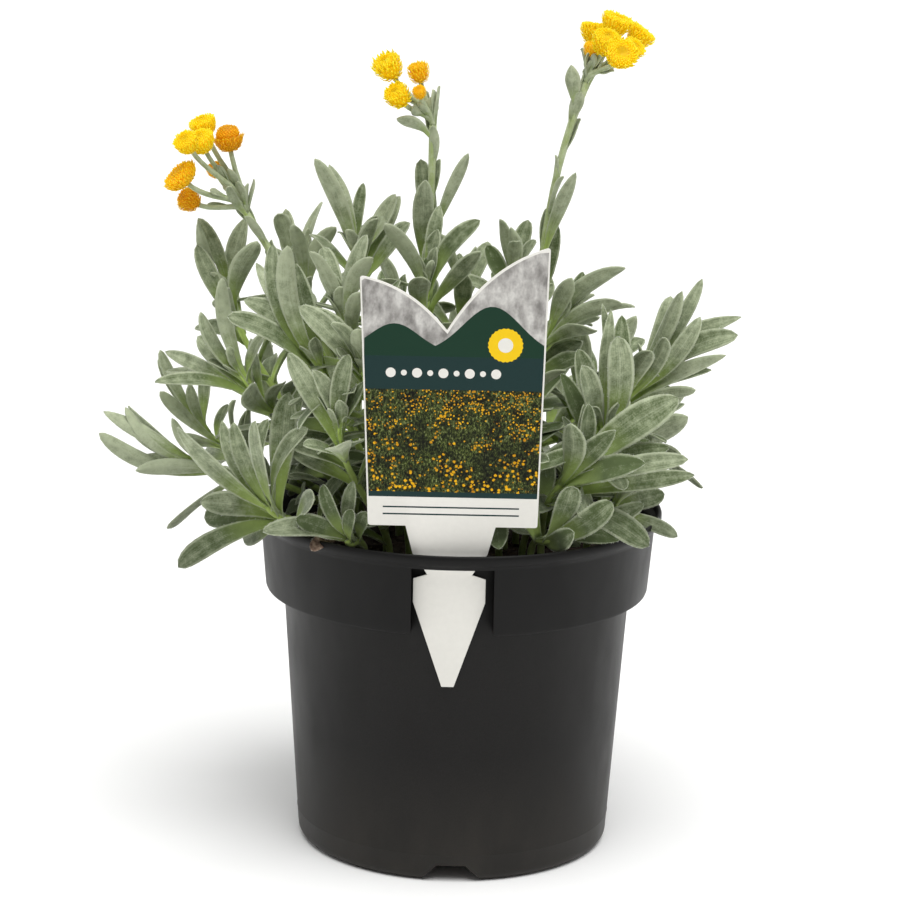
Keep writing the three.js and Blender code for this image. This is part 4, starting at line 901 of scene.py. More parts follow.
# The leafy shoots: root on the mix, tip, heading at the tip, turn of the leaf spiral in
# degrees, number of spiral leaves, how far down the stem they start, and the tips and
# widths of the leaves that reach out
SHOOT_KEYS = ("root", "tip", "heading", "turn", "leaves", "zone", "aims")
SHOOTS = [dict(zip(SHOOT_KEYS, row)) for row in (
    ((-44, -30), (-63, -42, 126), (-3, -1, 5), 20, 3, 12, [
        (-92, -50, 107, 7.5), (-86, -24, 117, 8.5), (-73, -18, 108, 7), (-86, -34, 125, 8),
        (-92, -52, 154, 7.5), (-79, -34, 153, 5.5), (-57, -28, 162, 9), (-67, -58, 158, 6.5),
        (-74, -46, 155, 6), (-63, -44, 156, 5), (-50, -56, 156, 5.5)]),
    ((-34, -10), (-74, -12, 164), (-3, 0, 4), 70, 6, 26, [
        (-102, -22, 163, 6), (-102, 14, 166, 5), (-90, -2, 175, 6.5), (-80, -18, 198, 6),
        (-88, -12, 185, 5.5), (-66, -10, 178, 7)]),
    ((-32, 8), (-80, 18, 184), (-1, 0, 4), 110, 6, 28, [
        (-91, 14, 212, 4.5), (-89, 24, 208, 6), (-75, 22, 212, 7), (-70, 8, 206, 8)]),
    ((-42, -2), (-88, -4, 130), (-4, 0, 1), 0, 5, 22, [
        (-110, -12, 130, 5.5), (-114, 8, 128, 5), (-120, -14, 151, 5.5), (-116, 12, 142, 4.5),
        (-114, -4, 150, 4.5)]),
    ((-40, 16), (-91, 22, 139), (-2, 0, 3), 40, 5, 22, [
        (-98, 6, 137, 4.5), (-104, 14, 152, 4.5), (-82, 30, 145, 4.5), (-106, 24, 161, 4),
        (-95, 24, 153, 5), (-90, 36, 156, 4.5)]),
    ((-24, -18), (-47, -34, 173), (-1, 0, 2), 200, 4, 26, [
        (-76, -44, 190, 8), (-73, -18, 191, 7), (-55, -28, 205, 8), (-57, -44, 214, 6.5),
        (-63, -32, 212, 6)]),
    ((-16, -30), (-32, -50, 174), (-1, -1, 4), 90, 4, 26, [
        (-52, -56, 196, 7.5), (-45, -58, 190, 6), (-46, -44, 198, 7), (-33, -60, 190, 6)]),
    ((-14, -20), (-38, -34, 187), (-1, -1, 6), 300, 3, 24, [
        (-33, -52, 201, 5), (-47, -32, 205, 6), (-49, -42, 212, 5), (-44, -26, 214, 6.5),
        (-38, -38, 218, 6.5), (-33, -44, 213, 6)]),
    ((-10, -8), (-36, 0, 204), (-1, 0, 7), 150, 5, 34, [
        (-29, -12, 219, 5), (-19, -4, 216, 7), (-22, 8, 223, 7), (-50, -8, 237, 6), (-34, 10, 227, 4),
        (-44, 6, 234, 5)]),
    ((-20, 12), (-56, 24, 193), (-1, 1, 6), 10, 4, 30, [
        (-68, 20, 202, 6), (-44, 22, 210, 6), (-58, 10, 212, 5), (-62, 36, 213, 6), (-49, 28, 217, 5),
        (-64, 18, 215, 6)]),
    ((-4, -14), (-12, -12, 196), (0, -1, 4), 60, 4, 30, [
        (-13, -34, 202, 7), (6, -24, 210, 6), (-26, -24, 218, 5.5), (5, -16, 219, 6.5),
        (-20, -18, 208, 5)]),
    ((10, -2), (18, 8, 197), (0, 0, 1), 260, 5, 32, [
        (-3, 16, 194, 5.5), (8, 10, 206, 6), (22, 16, 214, 6), (13, 8, 216, 4.5), (18, 0, 212, 4.5)]),
    ((20, -6), (32, -8, 183), (2, 0, 3), 140, 4, 28, [
        (58, -8, 190, 4.5), (54, -16, 192, 6), (54, -12, 204, 8), (46, 6, 196, 5), (38, -16, 201, 6),
        (41, -2, 200, 5)]),
    ((34, -2), (59, -2, 159), (3, -1, 4), 210, 3, 20, [
        (79, -14, 162, 5), (85, -2, 167, 5), (89, -12, 174, 5.5), (95, 4, 184, 6), (63, -22, 177, 6.5),
        (89, -6, 185, 8), (69, -16, 181, 5.5), (79, -8, 192, 6), (74, 6, 190, 7), (81, -2, 198, 6)]),
    ((22, -20), (48, -34, 152), (0, -1, 6), 330, 3, 20, [
        (33, -38, 172, 6.5), (40, -46, 176, 8), (39, -26, 178, 8), (45, -34, 172, 6),
        (53, -22, 189, 6.5), (51, -40, 185, 9), (46, -30, 193, 4.5)]),
    ((28, -32), (37, -44, 139), (3, -1, 3), 30, 2, 14, [
        (77, -52, 142, 6.5), (70, -44, 146, 6.5), (60, -58, 147, 8.5), (63, -30, 148, 6),
        (72, -38, 165, 11), (53, -50, 156, 7), (40, -58, 160, 8), (47, -52, 163, 6),
        (44, -46, 162, 5)]),
    ((24, -44), (31, -52, 120), (2, -1, 4), 250, 2, 8, [
        (53, -54, 120, 6), (37, -61, 124, 7), (53, -50, 134, 8), (60, -40, 133, 6), (39, -60, 137, 8),
        (33, -60, 134, 6.5)]),
    ((-30, -48), (-36, -54, 118), (-1, -1, 4), 120, 3, 8, [
        (-63, -64, 123, 7.5), (-61, -54, 127, 6.5), (-30, -60, 129, 5), (-44, -60, 138, 5),
        (-34, -58, 139, 5), (-41, -56, 135, 4.5)]),
    ((-22, -38), (-39, -54, 156), (0, -1, 4), 180, 3, 22, [
        (-50, -60, 152, 5), (-59, -48, 178, 7), (-36, -58, 181, 6), (-47, -60, 176, 6),
        (-31, -58, 172, 5)]),
    ((0, 8), (0, 20, 188), (0, 1, 6), 0, 8, 38, []),
    ((-10, 20), (-22, 42, 178), (-1, 2, 5), 45, 8, 36, []),
    ((12, 18), (26, 36, 180), (1, 2, 5), 90, 8, 36, []),
    ((-26, 24), (-50, 50, 160), (-2, 2, 3), 135, 8, 32, []),
    ((2, 32), (4, 62, 154), (0, 3, 4), 180, 8, 30, []),
    ((28, 24), (52, 46, 158), (2, 2, 3), 225, 8, 30, []),
    ((38, 10), (65, 24, 148), (2, 1, 5), 270, 7, 24, []),
    ((-38, 28), (-70, 52, 142), (-1, 2, 3), 315, 7, 24, []),
    ((-20, 42), (-38, 76, 130), (-1, 3, 2), 15, 8, 22, []),
    ((18, 44), (36, 76, 132), (1, 3, 2), 75, 8, 22, []),
    ((4, -24), (-6, -40, 160), (0, -1, 5), 105, 7, 30, []),
    ((14, -30), (16, -46, 146), (1, -2, 5), 165, 7, 24, []),
    ((16, -14), (20, -24, 170), (1, -1, 6), 195, 7, 32, []),
    ((42, 24), (57, 50, 128), (1, 2, 4), 285, 8, 20, []),
    ((44, -14), (54, -20, 126), (1, -1, 5), 345, 7, 14, []),
)]

# The flower stalks: root, fork and heading there, the leaves they carry as tip, width
# and how far below the fork they start, and the heads as centre, radius and finish
STALKS = [
    {
        "name": "left", "root": [-20, 2], "fork": [-74, 11, 215], "heading": [-2, 0, 3],
        "leaves": [[-80, 2, 226, 3, 2], [-79, 18, 229, 3, 4], [-52, 4, 196, 4, 34]],
        "heads": [
            [-89, 13, 245, 4.4, "yellow"], [-89, 4, 240.5, 4.4, "yellow"], [-93, -4, 241, 4, "yellow"],
            [-80, 9, 241, 4.4, "orange"], [-96, -1, 230, 4.6, "orange"], [-93.5, 8, 220, 4, "orange"],
            [-85, 16, 229, 2.8, "orange"]]},
    {
        "name": "middle", "root": [-13, 5], "fork": [-11, -1, 248], "heading": [0, 0, 6],
        "leaves": [
            [-13, -10, 231, 6.5, 44], [-15, 4, 236, 6, 42], [1, -2, 239, 4.5, 34], [-23, -8, 251, 4.5, 3]],
        "heads": [
            [-26, -4, 267.5, 4.6, "yellow"], [-22.5, -9, 258.5, 4, "yellow"],
            [-16, 3, 265, 3.5, "orange"], [-15.5, -7, 259.5, 2.2, "orange"]]},
    {
        "name": "right", "root": [26, 4], "fork": [40, 0, 263], "heading": [2, 0, 5],
        "leaves": [[34.5, -2, 269, 5, 9], [37, -8, 234, 4.5, 52], [32, 6, 214, 5.5, 70]],
        "heads": [
            [42, 9, 279, 4, "yellow"], [49.5, 4, 282.5, 4.6, "yellow"], [57.5, 8, 278, 4.3, "yellow"],
            [45.5, -6, 277, 4.3, "yellow"], [50, -15.5, 274, 4.6, "yellow"],
            [54.5, -3, 274.5, 3.8, "yellow"], [41.5, 1, 274, 2.8, "orange"]]},
]


def unit(vector):
    return vector / np.linalg.norm(vector)


def aside(u, v, angle):
    return u * math.cos(angle) + v * math.sin(angle)


def sides_of(axis):
    u = unit(SIDE_REFERENCE - axis * SIDE_REFERENCE.dot(axis))
    return u, np.cross(axis, u)


def draws_from(seed):
    """A repeatable stream of numbers from 0 to 1."""
    state = seed
    while True:
        state = (state * 1664525 + 1013904223) % 4294967296
        yield state / 4294967296


class Path:
    """A cubic curve through space, given by its four points."""

    def __init__(self, *points):
        self.points = [np.array(p, float) for p in points]
        self.span = float(np.linalg.norm(self.points[3] - self.points[0]))

    def at(self, t):
        a, b, c, d = self.points
        return a * (1 - t) ** 3 + b * 3 * t * (1 - t) ** 2 + c * 3 * t * t * (1 - t) + d * t ** 3

    def heading(self, t):
        a, b, c, d = self.points
        return unit((b - a) * (1 - t) ** 2 + (c - b) * 2 * t * (1 - t) + (d - c) * t * t)


def stem_path(root, tip, heading):
    """A stem stands upright in its hole, then curves to its tip along its heading."""
    foot = np.array([*root, STEM_LEVEL], float)
    tip = np.array(tip, float)
    span = np.linalg.norm(tip - foot)
    rise = foot + np.array([0, 0, STEM_RISE])
    return Path(foot, rise, tip - unit(np.array(heading, float)) * STEM_ARRIVAL * span, tip)


def branch_path(fork, seat, axis):
    end = seat - axis * HEAD_SEAT
    span = np.linalg.norm(end - fork)
    rise = fork + np.array([0, 0, BRANCH_START * span])
    return Path(fork, rise, end - axis * BRANCH_ARRIVAL * span, end + axis * BRANCH_INTO_HEAD)


def leaf_at(plan, change):
    turn, spread, short = change
    u, v = sides_of(plan["axis"])
    out = aside(u, v, plan["azimuth"] + math.radians(turn))
    angle = plan["spread"] + math.radians(spread)
    along = aside(plan["axis"], out, angle)
    flat = aside(plan["axis"], out, angle - math.pi / 2)
    upper = aside(flat, np.cross(along, flat), plan["roll"])
    return {**plan, "along": along, "upper": upper, "reach": plan["reach"] * short}


def place_on(path, down):
    t = 1 - down / path.span
    return {"base": path.at(t), "axis": path.heading(t)}


def leaf_plan(spot, azimuth, spread, reach, width, bend, roll, **looks):
    """A leaf by its place, its way round the stem in radians, its angle from the stem in
    degrees, and its form."""
    return {
        **spot, "azimuth": azimuth, "spread": math.radians(spread), "reach": reach, "width": width,
        "bend": bend, "roll": roll, **looks}


def aimed_plan(spot, target, width, bend, roll):
    u, v = sides_of(spot["axis"])
    way = np.array(target, float) - spot["base"]
    along = unit(way)
    return {
        **spot, "width": width, "bend": bend, "roll": roll, "along": along, "aimed": True,
        "azimuth": math.atan2(along.dot(v), along.dot(u)), "spread": math.acos(along.dot(spot["axis"])),
        "reach": float(np.linalg.norm(way))}


def shoot_plans(shoot, path, draw):
    aims = shoot["aims"]
    aimed = []
    for i, (x, y, z, width) in enumerate(aims):
        spot = place_on(path, mix(*AIMED_DOWN, i / len(aims)))
        bend = mix(*AIMED_BEND, next(draw))
        roll = mix(-AIMED_ROLL, AIMED_ROLL, next(draw))
        aimed.append(aimed_plan(spot, (x, y, z), width, bend, roll))
    spiral = []
    for i in range(shoot["leaves"]):
        rise = i / (shoot["leaves"] - 1)
        a, b, c, d, e = (next(draw) for _ in range(5))
        turn = mix(-TURN_VARIATION, TURN_VARIATION, a)
        least, most = (mix(LOW_SPREAD[k], HIGH_SPREAD[k], rise) for k in (0, 1))
        plan = leaf_plan(
            place_on(path, mix(shoot["zone"], TOP_LEAF_DOWN, rise)),
            math.radians(shoot["turn"]) + i * GOLDEN_ANGLE + turn, mix(least, most, b),
            LEAF_LENGTH * mix(1, HIGH_LENGTH, rise * rise) * mix(*LENGTH_VARIATION, c),
            LEAF_WIDTH * mix(1, HIGH_WIDTH, rise) * mix(*WIDTH_VARIATION, c),
            mix(LEAST_BEND, mix(LOW_BEND, HIGH_BEND, rise), d), mix(-ROLL_VARIATION, ROLL_VARIATION, e))
        along = leaf_at(plan, AS_PLANNED)["along"]
        if all(other["along"].dot(along) < SAME_DIRECTION for other in aimed):
            spiral.append(plan)
    return aimed + spiral


def stalk_plans(stalk, path, draw):
    plans = []
    for x, y, z, width, down in stalk["leaves"]:
        bend = mix(*BRACT_BEND, next(draw))
        roll = mix(-BRACT_ROLL, BRACT_ROLL, next(draw))
        plans.append(aimed_plan(place_on(path, down), (x, y, z), width, bend, roll))
    return plans


def arc_of(leaf, s):
    """Points, upward directions and the across direction of an arched leaf at shares s."""
    half = leaf["bend"] / 2
    start = aside(leaf["along"], leaf["upper"], half)
    lift = aside(leaf["upper"], leaf["along"], -half)
    radius = leaf["reach"] / (2 * math.sin(half))
    turn = leaf["bend"] * np.asarray(s)
    sine, cosine = np.sin(turn)[..., None], np.cos(turn)[..., None]
    points = leaf["base"] + start * radius * sine - lift * radius * (1 - cosine)
    return points, lift * cosine + start * sine, np.cross(leaf["along"], leaf["upper"])


TIP_MATCH = 0.03


def tries_of(plan):
    return (leaf_at(plan, change) for change in TRIES)


def as_grown(name, plans):
    """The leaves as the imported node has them, found by the tips of their tries, within
    TIP_MATCH millimetres. A plan with no tip there had no room, and comes back as None."""
    vertices = [v.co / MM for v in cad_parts[name].data.vertices]
    tree = kdtree.KDTree(len(vertices))
    for i, place in enumerate(vertices):
        tree.insert(place, i)
    tree.balance()
    grown = []
    for plan in plans:
        matches = (leaf for leaf in tries_of(plan) if tree.find(arc_of(leaf, 1.0)[0])[2] < TIP_MATCH)
        grown.append(next(matches, None))
    return grown


# Fine leaves, and where each skin stands among a piece's materials
LEAF_SKIN, HAIR_SKIN, STEM_SKIN, DRIED_SKIN = range(4)
BLADE_COLUMNS = 6
BLADE_ROWS = 12
CROWDED_TO_TIP = 1.35
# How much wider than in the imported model: a leaf, one that reaches for a tip, and a stalk's
BLADE_FULLNESS = 1.22
REACHING_FULLNESS = 1.04
STALK_LEAF_FULLNESS = 1.06
NARROW_LEAF = 4.2
# The outline: half widths at the foot and the point, where it is widest, and how a blunt
# and an acute tip narrow
BLADE_FOOT = 0.32
BLADE_POINT = 0.03
BLADE_WIDEST = 0.68
TIP_ONSET = (2.8, 1.6)
TIP_SHARPNESS = (0.5, 0.74)
# A reaching leaf twists toward the front over the first share of its length
FRONT = np.array([0.0, -0.97, 0.24])
MOST_TWIST = 0.7
TWISTED_BY = 0.4
# A blade's form, each drawn between two values: twist, sway to a side, depth of its fold,
# how far and how often its margins wave, their curl, the tip's hook, and how young it is
TWIST = (-0.28, 0.28)
SWAY = (-0.05, 0.05)
FOLD = (0.55, 1.25)
WAVE = (0.2, 1.0)
WAVES = (0.7, 1.5)
CURL = (-0.2, 0.45)
HOOK = (-1.3, 0.5)
YOUTH = (0.6, 1.0)
DEEPEST_FOLD = 1.5
HOOK_START = 0.82
RIB_HEIGHT = 0.55
RIB_WIDTH = 0.16
# A margin hair: radius, depth of its root, where along the margin it may stand, how much
# of it points outward, along the margin and up, and its length in shares of the full one
HAIR_RADIUS = 0.045
HAIR_ROOT = 0.15
HAIR_PLACES = (0.04, 0.999)
HAIR_OUT = (0.5, 1)
HAIR_ALONG = (-0.6, 1.0)
HAIR_UP = (-0.7, 0.7)
HAIR_SHARES = (0.5, 1.15)


def blade_template():
    """A flat blade shell, two layers of a grid, as arrays: across, along, layer and faces."""
    deselect()
    bpy.ops.mesh.primitive_grid_add(x_subdivisions=BLADE_COLUMNS, y_subdivisions=BLADE_ROWS, size=2)
    grid = bpy.context.object
    bpy.ops.object.mode_set(mode="EDIT")
    bpy.ops.mesh.select_all(action="SELECT")
    bpy.ops.mesh.extrude_region_move(TRANSFORM_OT_translate={"value": (0, 0, -1)})
    bpy.ops.mesh.select_all(action="SELECT")
    bpy.ops.mesh.normals_make_consistent(inside=False)
    bpy.ops.object.mode_set(mode="OBJECT")
    places = np.array([v.co[:] for v in grid.data.vertices])
    faces = [tuple(p.vertices) for p in grid.data.polygons]
    bpy.data.objects.remove(grid)
    across = places[:, 0]
    along = 1 - (1 - (places[:, 1] + 1) / 2) ** CROWDED_TO_TIP
    return across, along, np.where(places[:, 2] < -0.5, 1.0, 0.0), faces


def outline_share(s, point):
    """Half width of a leaf along its length: clasping foot, widest past the middle, and a
    tip from blunt to acute that ends in a small sharp point."""
    low = mix(BLADE_FOOT, 1.0, ease(np.clip(s / BLADE_WIDEST, 0, 1)))
    t = np.clip((s - BLADE_WIDEST) / (1 - BLADE_WIDEST), 0, 1)
    high = (1 - t ** mix(*TIP_ONSET, point)) ** mix(*TIP_SHARPNESS, point)
    return np.where(s < BLADE_WIDEST, low, np.maximum(high, BLADE_POINT))


def tube_faces(rings, sides, pointed=False):
    """Faces of a closed tube of point rings. A pointed one ends in one more point."""
    last = (rings - 1) * sides
    faces = [tuple(reversed(range(sides)))]
    for i in range(0, last, sides):
        for k in range(sides):
            a, b = i + k, i + (k + 1) % sides
            faces.append((a, b, b + sides, a + sides))
    if pointed:
        return faces + [(last + k, last + (k + 1) % sides, last + sides) for k in range(sides)]
    return [*faces, tuple(range(last, last + sides))]


class Growth:
    """Gathers leaves, stems and hairs into one mesh, with its UV map and growth colours."""

    def __init__(self):
        self.points, self.faces, self.uv, self.marks, self.skins = [], [], [], [], []
        self.count = 0

    def add(self, points, faces, marks, skin=LEAF_SKIN, uv=(0.5, 0.5)):
        self.faces += [tuple(i + self.count for i in face) for face in faces]
        self.skins += [skin] * len(faces)
        self.points.append(np.asarray(points, float))
        self.uv.append(np.broadcast_to(np.asarray(uv, float), (len(points), 2)))
        self.marks.append(np.broadcast_to(np.asarray(marks, float), (len(points), 3)))
        self.count += len(points)

    def made(self, name, materials, slot, *nodes):
        thing = linked_object(name, np.concatenate(self.points) * MM, [], self.faces)
        mesh = thing.data
        uv = np.concatenate(self.uv)
        marks = np.concatenate(self.marks)
        corners = np.zeros(len(mesh.loops), int)
        mesh.loops.foreach_get("vertex_index", corners)
        layer = mesh.uv_layers.new(name="blade")
        layer.data.foreach_set("uv", uv[corners].astype(np.float32).ravel())
        shades = mesh.color_attributes.new("growth", "FLOAT_COLOR", "POINT")
        shades.data.foreach_set("color", np.c_[marks, np.ones(len(marks))].astype(np.float32).ravel())
        for material in materials:
            mesh.materials.append(material)
        mesh.polygons.foreach_set("material_index", self.skins)
        mesh.polygons.foreach_set("use_smooth", [True] * len(self.faces))
        mesh.update()
        return keep(thing, slot, *nodes)


def turn_to_front(leaf):
    """How far a reaching leaf twists at its foot to show its face to the front, in radians."""
    _, up, across = arc_of(leaf, np.array([0.5]))
    forward = np.cross(up[0], across)
    front = FRONT - forward * FRONT.dot(forward)
    angle = -math.atan2(front.dot(across), front.dot(up[0]))
    if abs(angle) > math.pi / 2:
        angle -= math.copysign(math.pi, angle)
    return min(max(angle, -MOST_TWIST), MOST_TWIST)


def add_leaf(growth, leaf, template, settings, draw, skin=LEAF_SKIN):
    """One felted leaf: a folded, waved blade with a raised rib behind, and hairs round it."""
    c, s, layer, faces = template
    aimed = leaf.get("aimed", False)
    point, twist, sway = draw.random(), draw.uniform(*TWIST), draw.uniform(*SWAY)
    middle, up, across = arc_of(leaf, s)
    share = outline_share(s, point)
    half = leaf["width"] / 2 * (REACHING_FULLNESS if aimed else BLADE_FULLNESS) * share
    angle = twist * s * s
    if aimed:
        angle = angle + turn_to_front(leaf) * ease(np.clip(s / TWISTED_BY, 0, 1))
    side = across * np.cos(angle)[:, None] + up * np.sin(angle)[:, None]
    lift = up * np.cos(angle)[:, None] - across * np.sin(angle)[:, None]
    # The blade folds up along its midrib, most at the foot, and its margins wave and curl
    fold = mix(1.0, 0.45, s) * np.minimum(0.5 * half, DEEPEST_FOLD) * draw.uniform(*FOLD)
    height = -fold * (1 - np.abs(c) ** 1.5)
    wave = settings.wave / MM * draw.uniform(*WAVE)
    phase = np.where(c > 0, draw.uniform(0, TAU), draw.uniform(0, TAU))
    height += wave * c * c * share * s * np.sin(phase + TAU * mix(*WAVES, draw.random()) * s)
    height -= draw.uniform(*CURL) * np.abs(c) ** 4 * share
    # A soft thickness: thin at the margin, with the rib standing out behind
    thin = settings.blade / MM * (1 - 0.35 * np.abs(c) ** 3)
    rib = RIB_HEIGHT * np.exp(-(c / RIB_WIDTH) ** 2) * (1 - 0.75 * s)
    height -= layer * (thin + rib)
    height += draw.uniform(*HOOK) * np.clip((s - HOOK_START) / (1 - HOOK_START), 0, 1) ** 2
    reach = leaf["reach"] * sway * np.sin(math.pi * s)
    points = middle + side * (c * half + reach)[:, None] + lift * height[:, None]
    tone = leaf.get("tone", draw.random())
    youth = draw.uniform(*YOUTH) * leaf.get("youth", 1.0)
    marks = np.c_[np.full(len(c), tone), layer, np.full(len(c), youth)]
    growth.add(points, faces, marks, skin, np.c_[(c + 1) / 2, s])
    add_margin_hairs(growth, leaf, settings, draw, points, c, s, layer)


def add_leaves(growth, leaves, template, settings, draw):
    for leaf in leaves:
        add_leaf(growth, leaf, template, settings, draw)


def add_margin_hairs(growth, leaf, settings, draw, points, c, s, layer):
    """Slim hairs along both margins, each a closed three-sided spike."""
    length = settings.hair / MM
    upper = layer < 0.5

    def row(chosen):
        return points[chosen][np.argsort(s[chosen])]

    mid = row(upper & (np.abs(c) < 0.01))
    for side in (-1, 1):
        rim = row(upper & (c * side > 0.99))
        for _ in range(int(settings.hairs * leaf["reach"] / LEAF_LENGTH)):
            t = draw.uniform(*HAIR_PLACES) ** 0.8 * (len(rim) - 1)
            k = min(int(t), len(rim) - 2)
            root = rim[k] * (1 - (t - k)) + rim[k + 1] * (t - k)
            out = rim[k] - mid[k]
            step = rim[k + 1] - rim[k]
            if np.linalg.norm(out) < 0.05 or np.linalg.norm(step) < 0.02:
                continue
            out, step = unit(out), unit(step)
            add_hair(growth, root, out, step, length, draw)


def add_hair(growth, root, out, step, length, draw):
    up = np.cross(out, step)
    way = unit(
        out * draw.uniform(*HAIR_OUT) + step * draw.uniform(*HAIR_ALONG) + up * draw.uniform(*HAIR_UP))
    a, b = sides_of(way)
    base = root - way * HAIR_ROOT
    ring = [base + aside(a, b, k * TAU / 3) * HAIR_RADIUS for k in range(3)]
    ring.append(base + way * length * draw.uniform(*HAIR_SHARES))
    growth.add(ring, tube_faces(1, 3, pointed=True), (0.5, 0, 0), HAIR_SKIN)


# How far a point of a stem's skin may stand in or out, as a share of its radius
KNOTS = (-0.06, 0.08)


def add_stem(growth, path, radii, draw, sides=10, rings=16, foot=None, swell=0.0, bare=0.14):
    """A round stem with a slightly knotty skin, closed at both ends. The barer it is, the
    lower its bare share, which stands for a leaf's foot on the UV map."""
    shares = [k / (rings - 1) for k in range(rings)]
    centres = [path.at(t) for t in shares]
    if foot is not None:
        centres.insert(0, np.array([*centres[0][:2], foot]))
        shares.insert(0, 0.0)
    points, uv, marks = [], [], []
    for i, (centre, t) in enumerate(zip(centres, shares)):
        before, after = centres[max(i - 1, 0)], centres[min(i + 1, len(centres) - 1)]
        u, v = sides_of(unit(after - before))
        radius = mix(*radii, t) * (1 + swell * t ** 6)
        for k in range(sides):
            knot = 1 + draw.uniform(*KNOTS)
            points.append(centre + aside(u, v, k * TAU / sides) * radius * knot)
            uv.append((0.5 + 0.2 * math.sin(k * TAU / sides), bare))
            marks.append((0.5, 0.35, t * t))
    growth.add(points, tube_faces(len(centres), sides), marks, STEM_SKIN, uv)


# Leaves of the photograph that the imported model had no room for: shoot, how far below its
# tip, the leaf's own tip, and its width
ADDED_BEND = 0.45
ADDED_LEAVES = [
    (4, 2, -121, -6, 149, 5.6),
    (4, 1, -114, 2, 149, 4.4),
    (4, 4, -98, -6, 147, 4.2),
    (6, 4, -69, -12, 202, 5.6),
    (16, 11, 78, -40, 139, 6.0),
    (14, 1, 81, -2, 198, 5.0),
    (9, 3, -23, 2, 224, 6.4),
    (9, 6, -29, -8, 219, 4.2),
    (15, 6, 46, -30, 194, 3.8),
    (3, 2, -91, 20, 212, 5.0),
    (11, 2, -8, -6, 222, 5.0),
    (5, 3, -105, 22, 165, 4.4),
]


def added_plans(shoot_number, path):
    for number, down, x, y, z, width in ADDED_LEAVES:
        if number == shoot_number:
            plan = aimed_plan(place_on(path, down), (x, y, z), width, ADDED_BEND, 0.0)
            yield leaf_at(plan, AS_PLANNED)


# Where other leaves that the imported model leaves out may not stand, each a radius and the
# height up to which a leaf may not pass it: the pot's lip, the crown's lower part, and the
# rim at the front, where the photograph shows it bare
LIP_ROOM = (64.0, 119.5)
CROWN_ROOM = (80, 160)
FRONT_ROOM = (60, 135)
# The mix's height with some room, and how far the card and its room reach: behind its
# back, to its left and right, and up from its tip
MIX_ROOM = 107
CARD_BEHIND = -2.0
CARD_SIDES = (-32, 33)
CARD_RISE = 150


def has_room(leaf):
    """Whether a leaf keeps clear of the pot's rim, the mix and the label card."""
    shares = np.linspace(0.1, 1, 10)
    middle, _, across = arc_of(leaf, shares)
    half = leaf["width"] / 2 * BLADE_FULLNESS * outline_share(shares, 0.5)
    for side in (-1, 0, 1):
        for share, place in zip(shares, middle + across * (half * side)[:, None]):
            radius = math.hypot(place[0], place[1])
            rooms = (LIP_ROOM, CROWN_ROOM, FRONT_ROOM) if place[1] < 0 else (LIP_ROOM, CROWN_ROOM)
            if any(radius > reach and place[2] < top for reach, top in rooms):
                return False
            if place[2] < MIX_ROOM and share > 0.2:
                return False
            east, south, rise = place - np.array(LABEL_TIP)
            out = -south * math.cos(LABEL_LEAN) - rise * math.sin(LABEL_LEAN)
            if out > CARD_BEHIND and CARD_SIDES[0] < east < CARD_SIDES[1] and rise < CARD_RISE:
                return False
    return True


def first_with_room(plan):
    return next(filter(has_room, tries_of(plan)), None)


# Infill leaves of two kinds, low ones and young ones round the tip: how far apart or how
# many, and spread, length, width where it is drawn, bend and roll, between two values
INFILL_APART = 5.5
LOW_INFILL = ((48, 84), (18, 28), (5.0, 7.4), (0.4, 1.3), (-0.4, 0.4))
YOUNG_LEAVES = 5
YOUNG_INFILL = ((8, 26), (0.85, 1.15), (0.15, 0.5), (-0.5, 0.5))


def drawn(draw, ranges):
    return [draw.uniform(*between) for between in ranges]


def infill_plans(shoot, path, draw):
    """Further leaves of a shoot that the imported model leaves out: lower ones that fill the
    plant's inside, and small young ones round the growing tip."""
    plans = []
    low = min(path.span - 8, shoot["zone"] + 34)
    count = max(int((low - 6) / INFILL_APART), 3)
    for i in range(count):
        azimuth = math.radians(shoot["turn"] + 61) + i * GOLDEN_ANGLE
        spot = place_on(path, mix(low, 8, i / (count - 1)))
        plans.append(leaf_plan(spot, azimuth, *drawn(draw, LOW_INFILL), youth=0.6))
    for i in range(YOUNG_LEAVES):
        rise = i / (YOUNG_LEAVES - 1)
        azimuth = math.radians(shoot["turn"] + 25) + i * GOLDEN_ANGLE
        spread, longer, bend, roll = drawn(draw, YOUNG_INFILL)
        plans.append(leaf_plan(
            place_on(path, mix(2.5, 0.2, rise)), azimuth, spread, mix(17, 7, rise) * longer,
            mix(4.2, 2.2, rise), bend, roll))
    return list(filter(None, map(first_with_room, plans)))


# One dried, curled leaf hangs over the rim at the front left
DRIED_SHOOT = 18
DRIED_BASE = (-36.0, -43.0, 113.0)
DRIED_TIP = (-47.5, -56.7, 115.5)
DRIED_WIDTH = 4.6
DRIED_BEND = 1.5


def dried_leaf():
    spot = {"base": np.array(DRIED_BASE), "axis": np.array([0.0, 0.0, 1.0])}
    return leaf_at(aimed_plan(spot, DRIED_TIP, DRIED_WIDTH, DRIED_BEND, 0.0), AS_PLANNED)


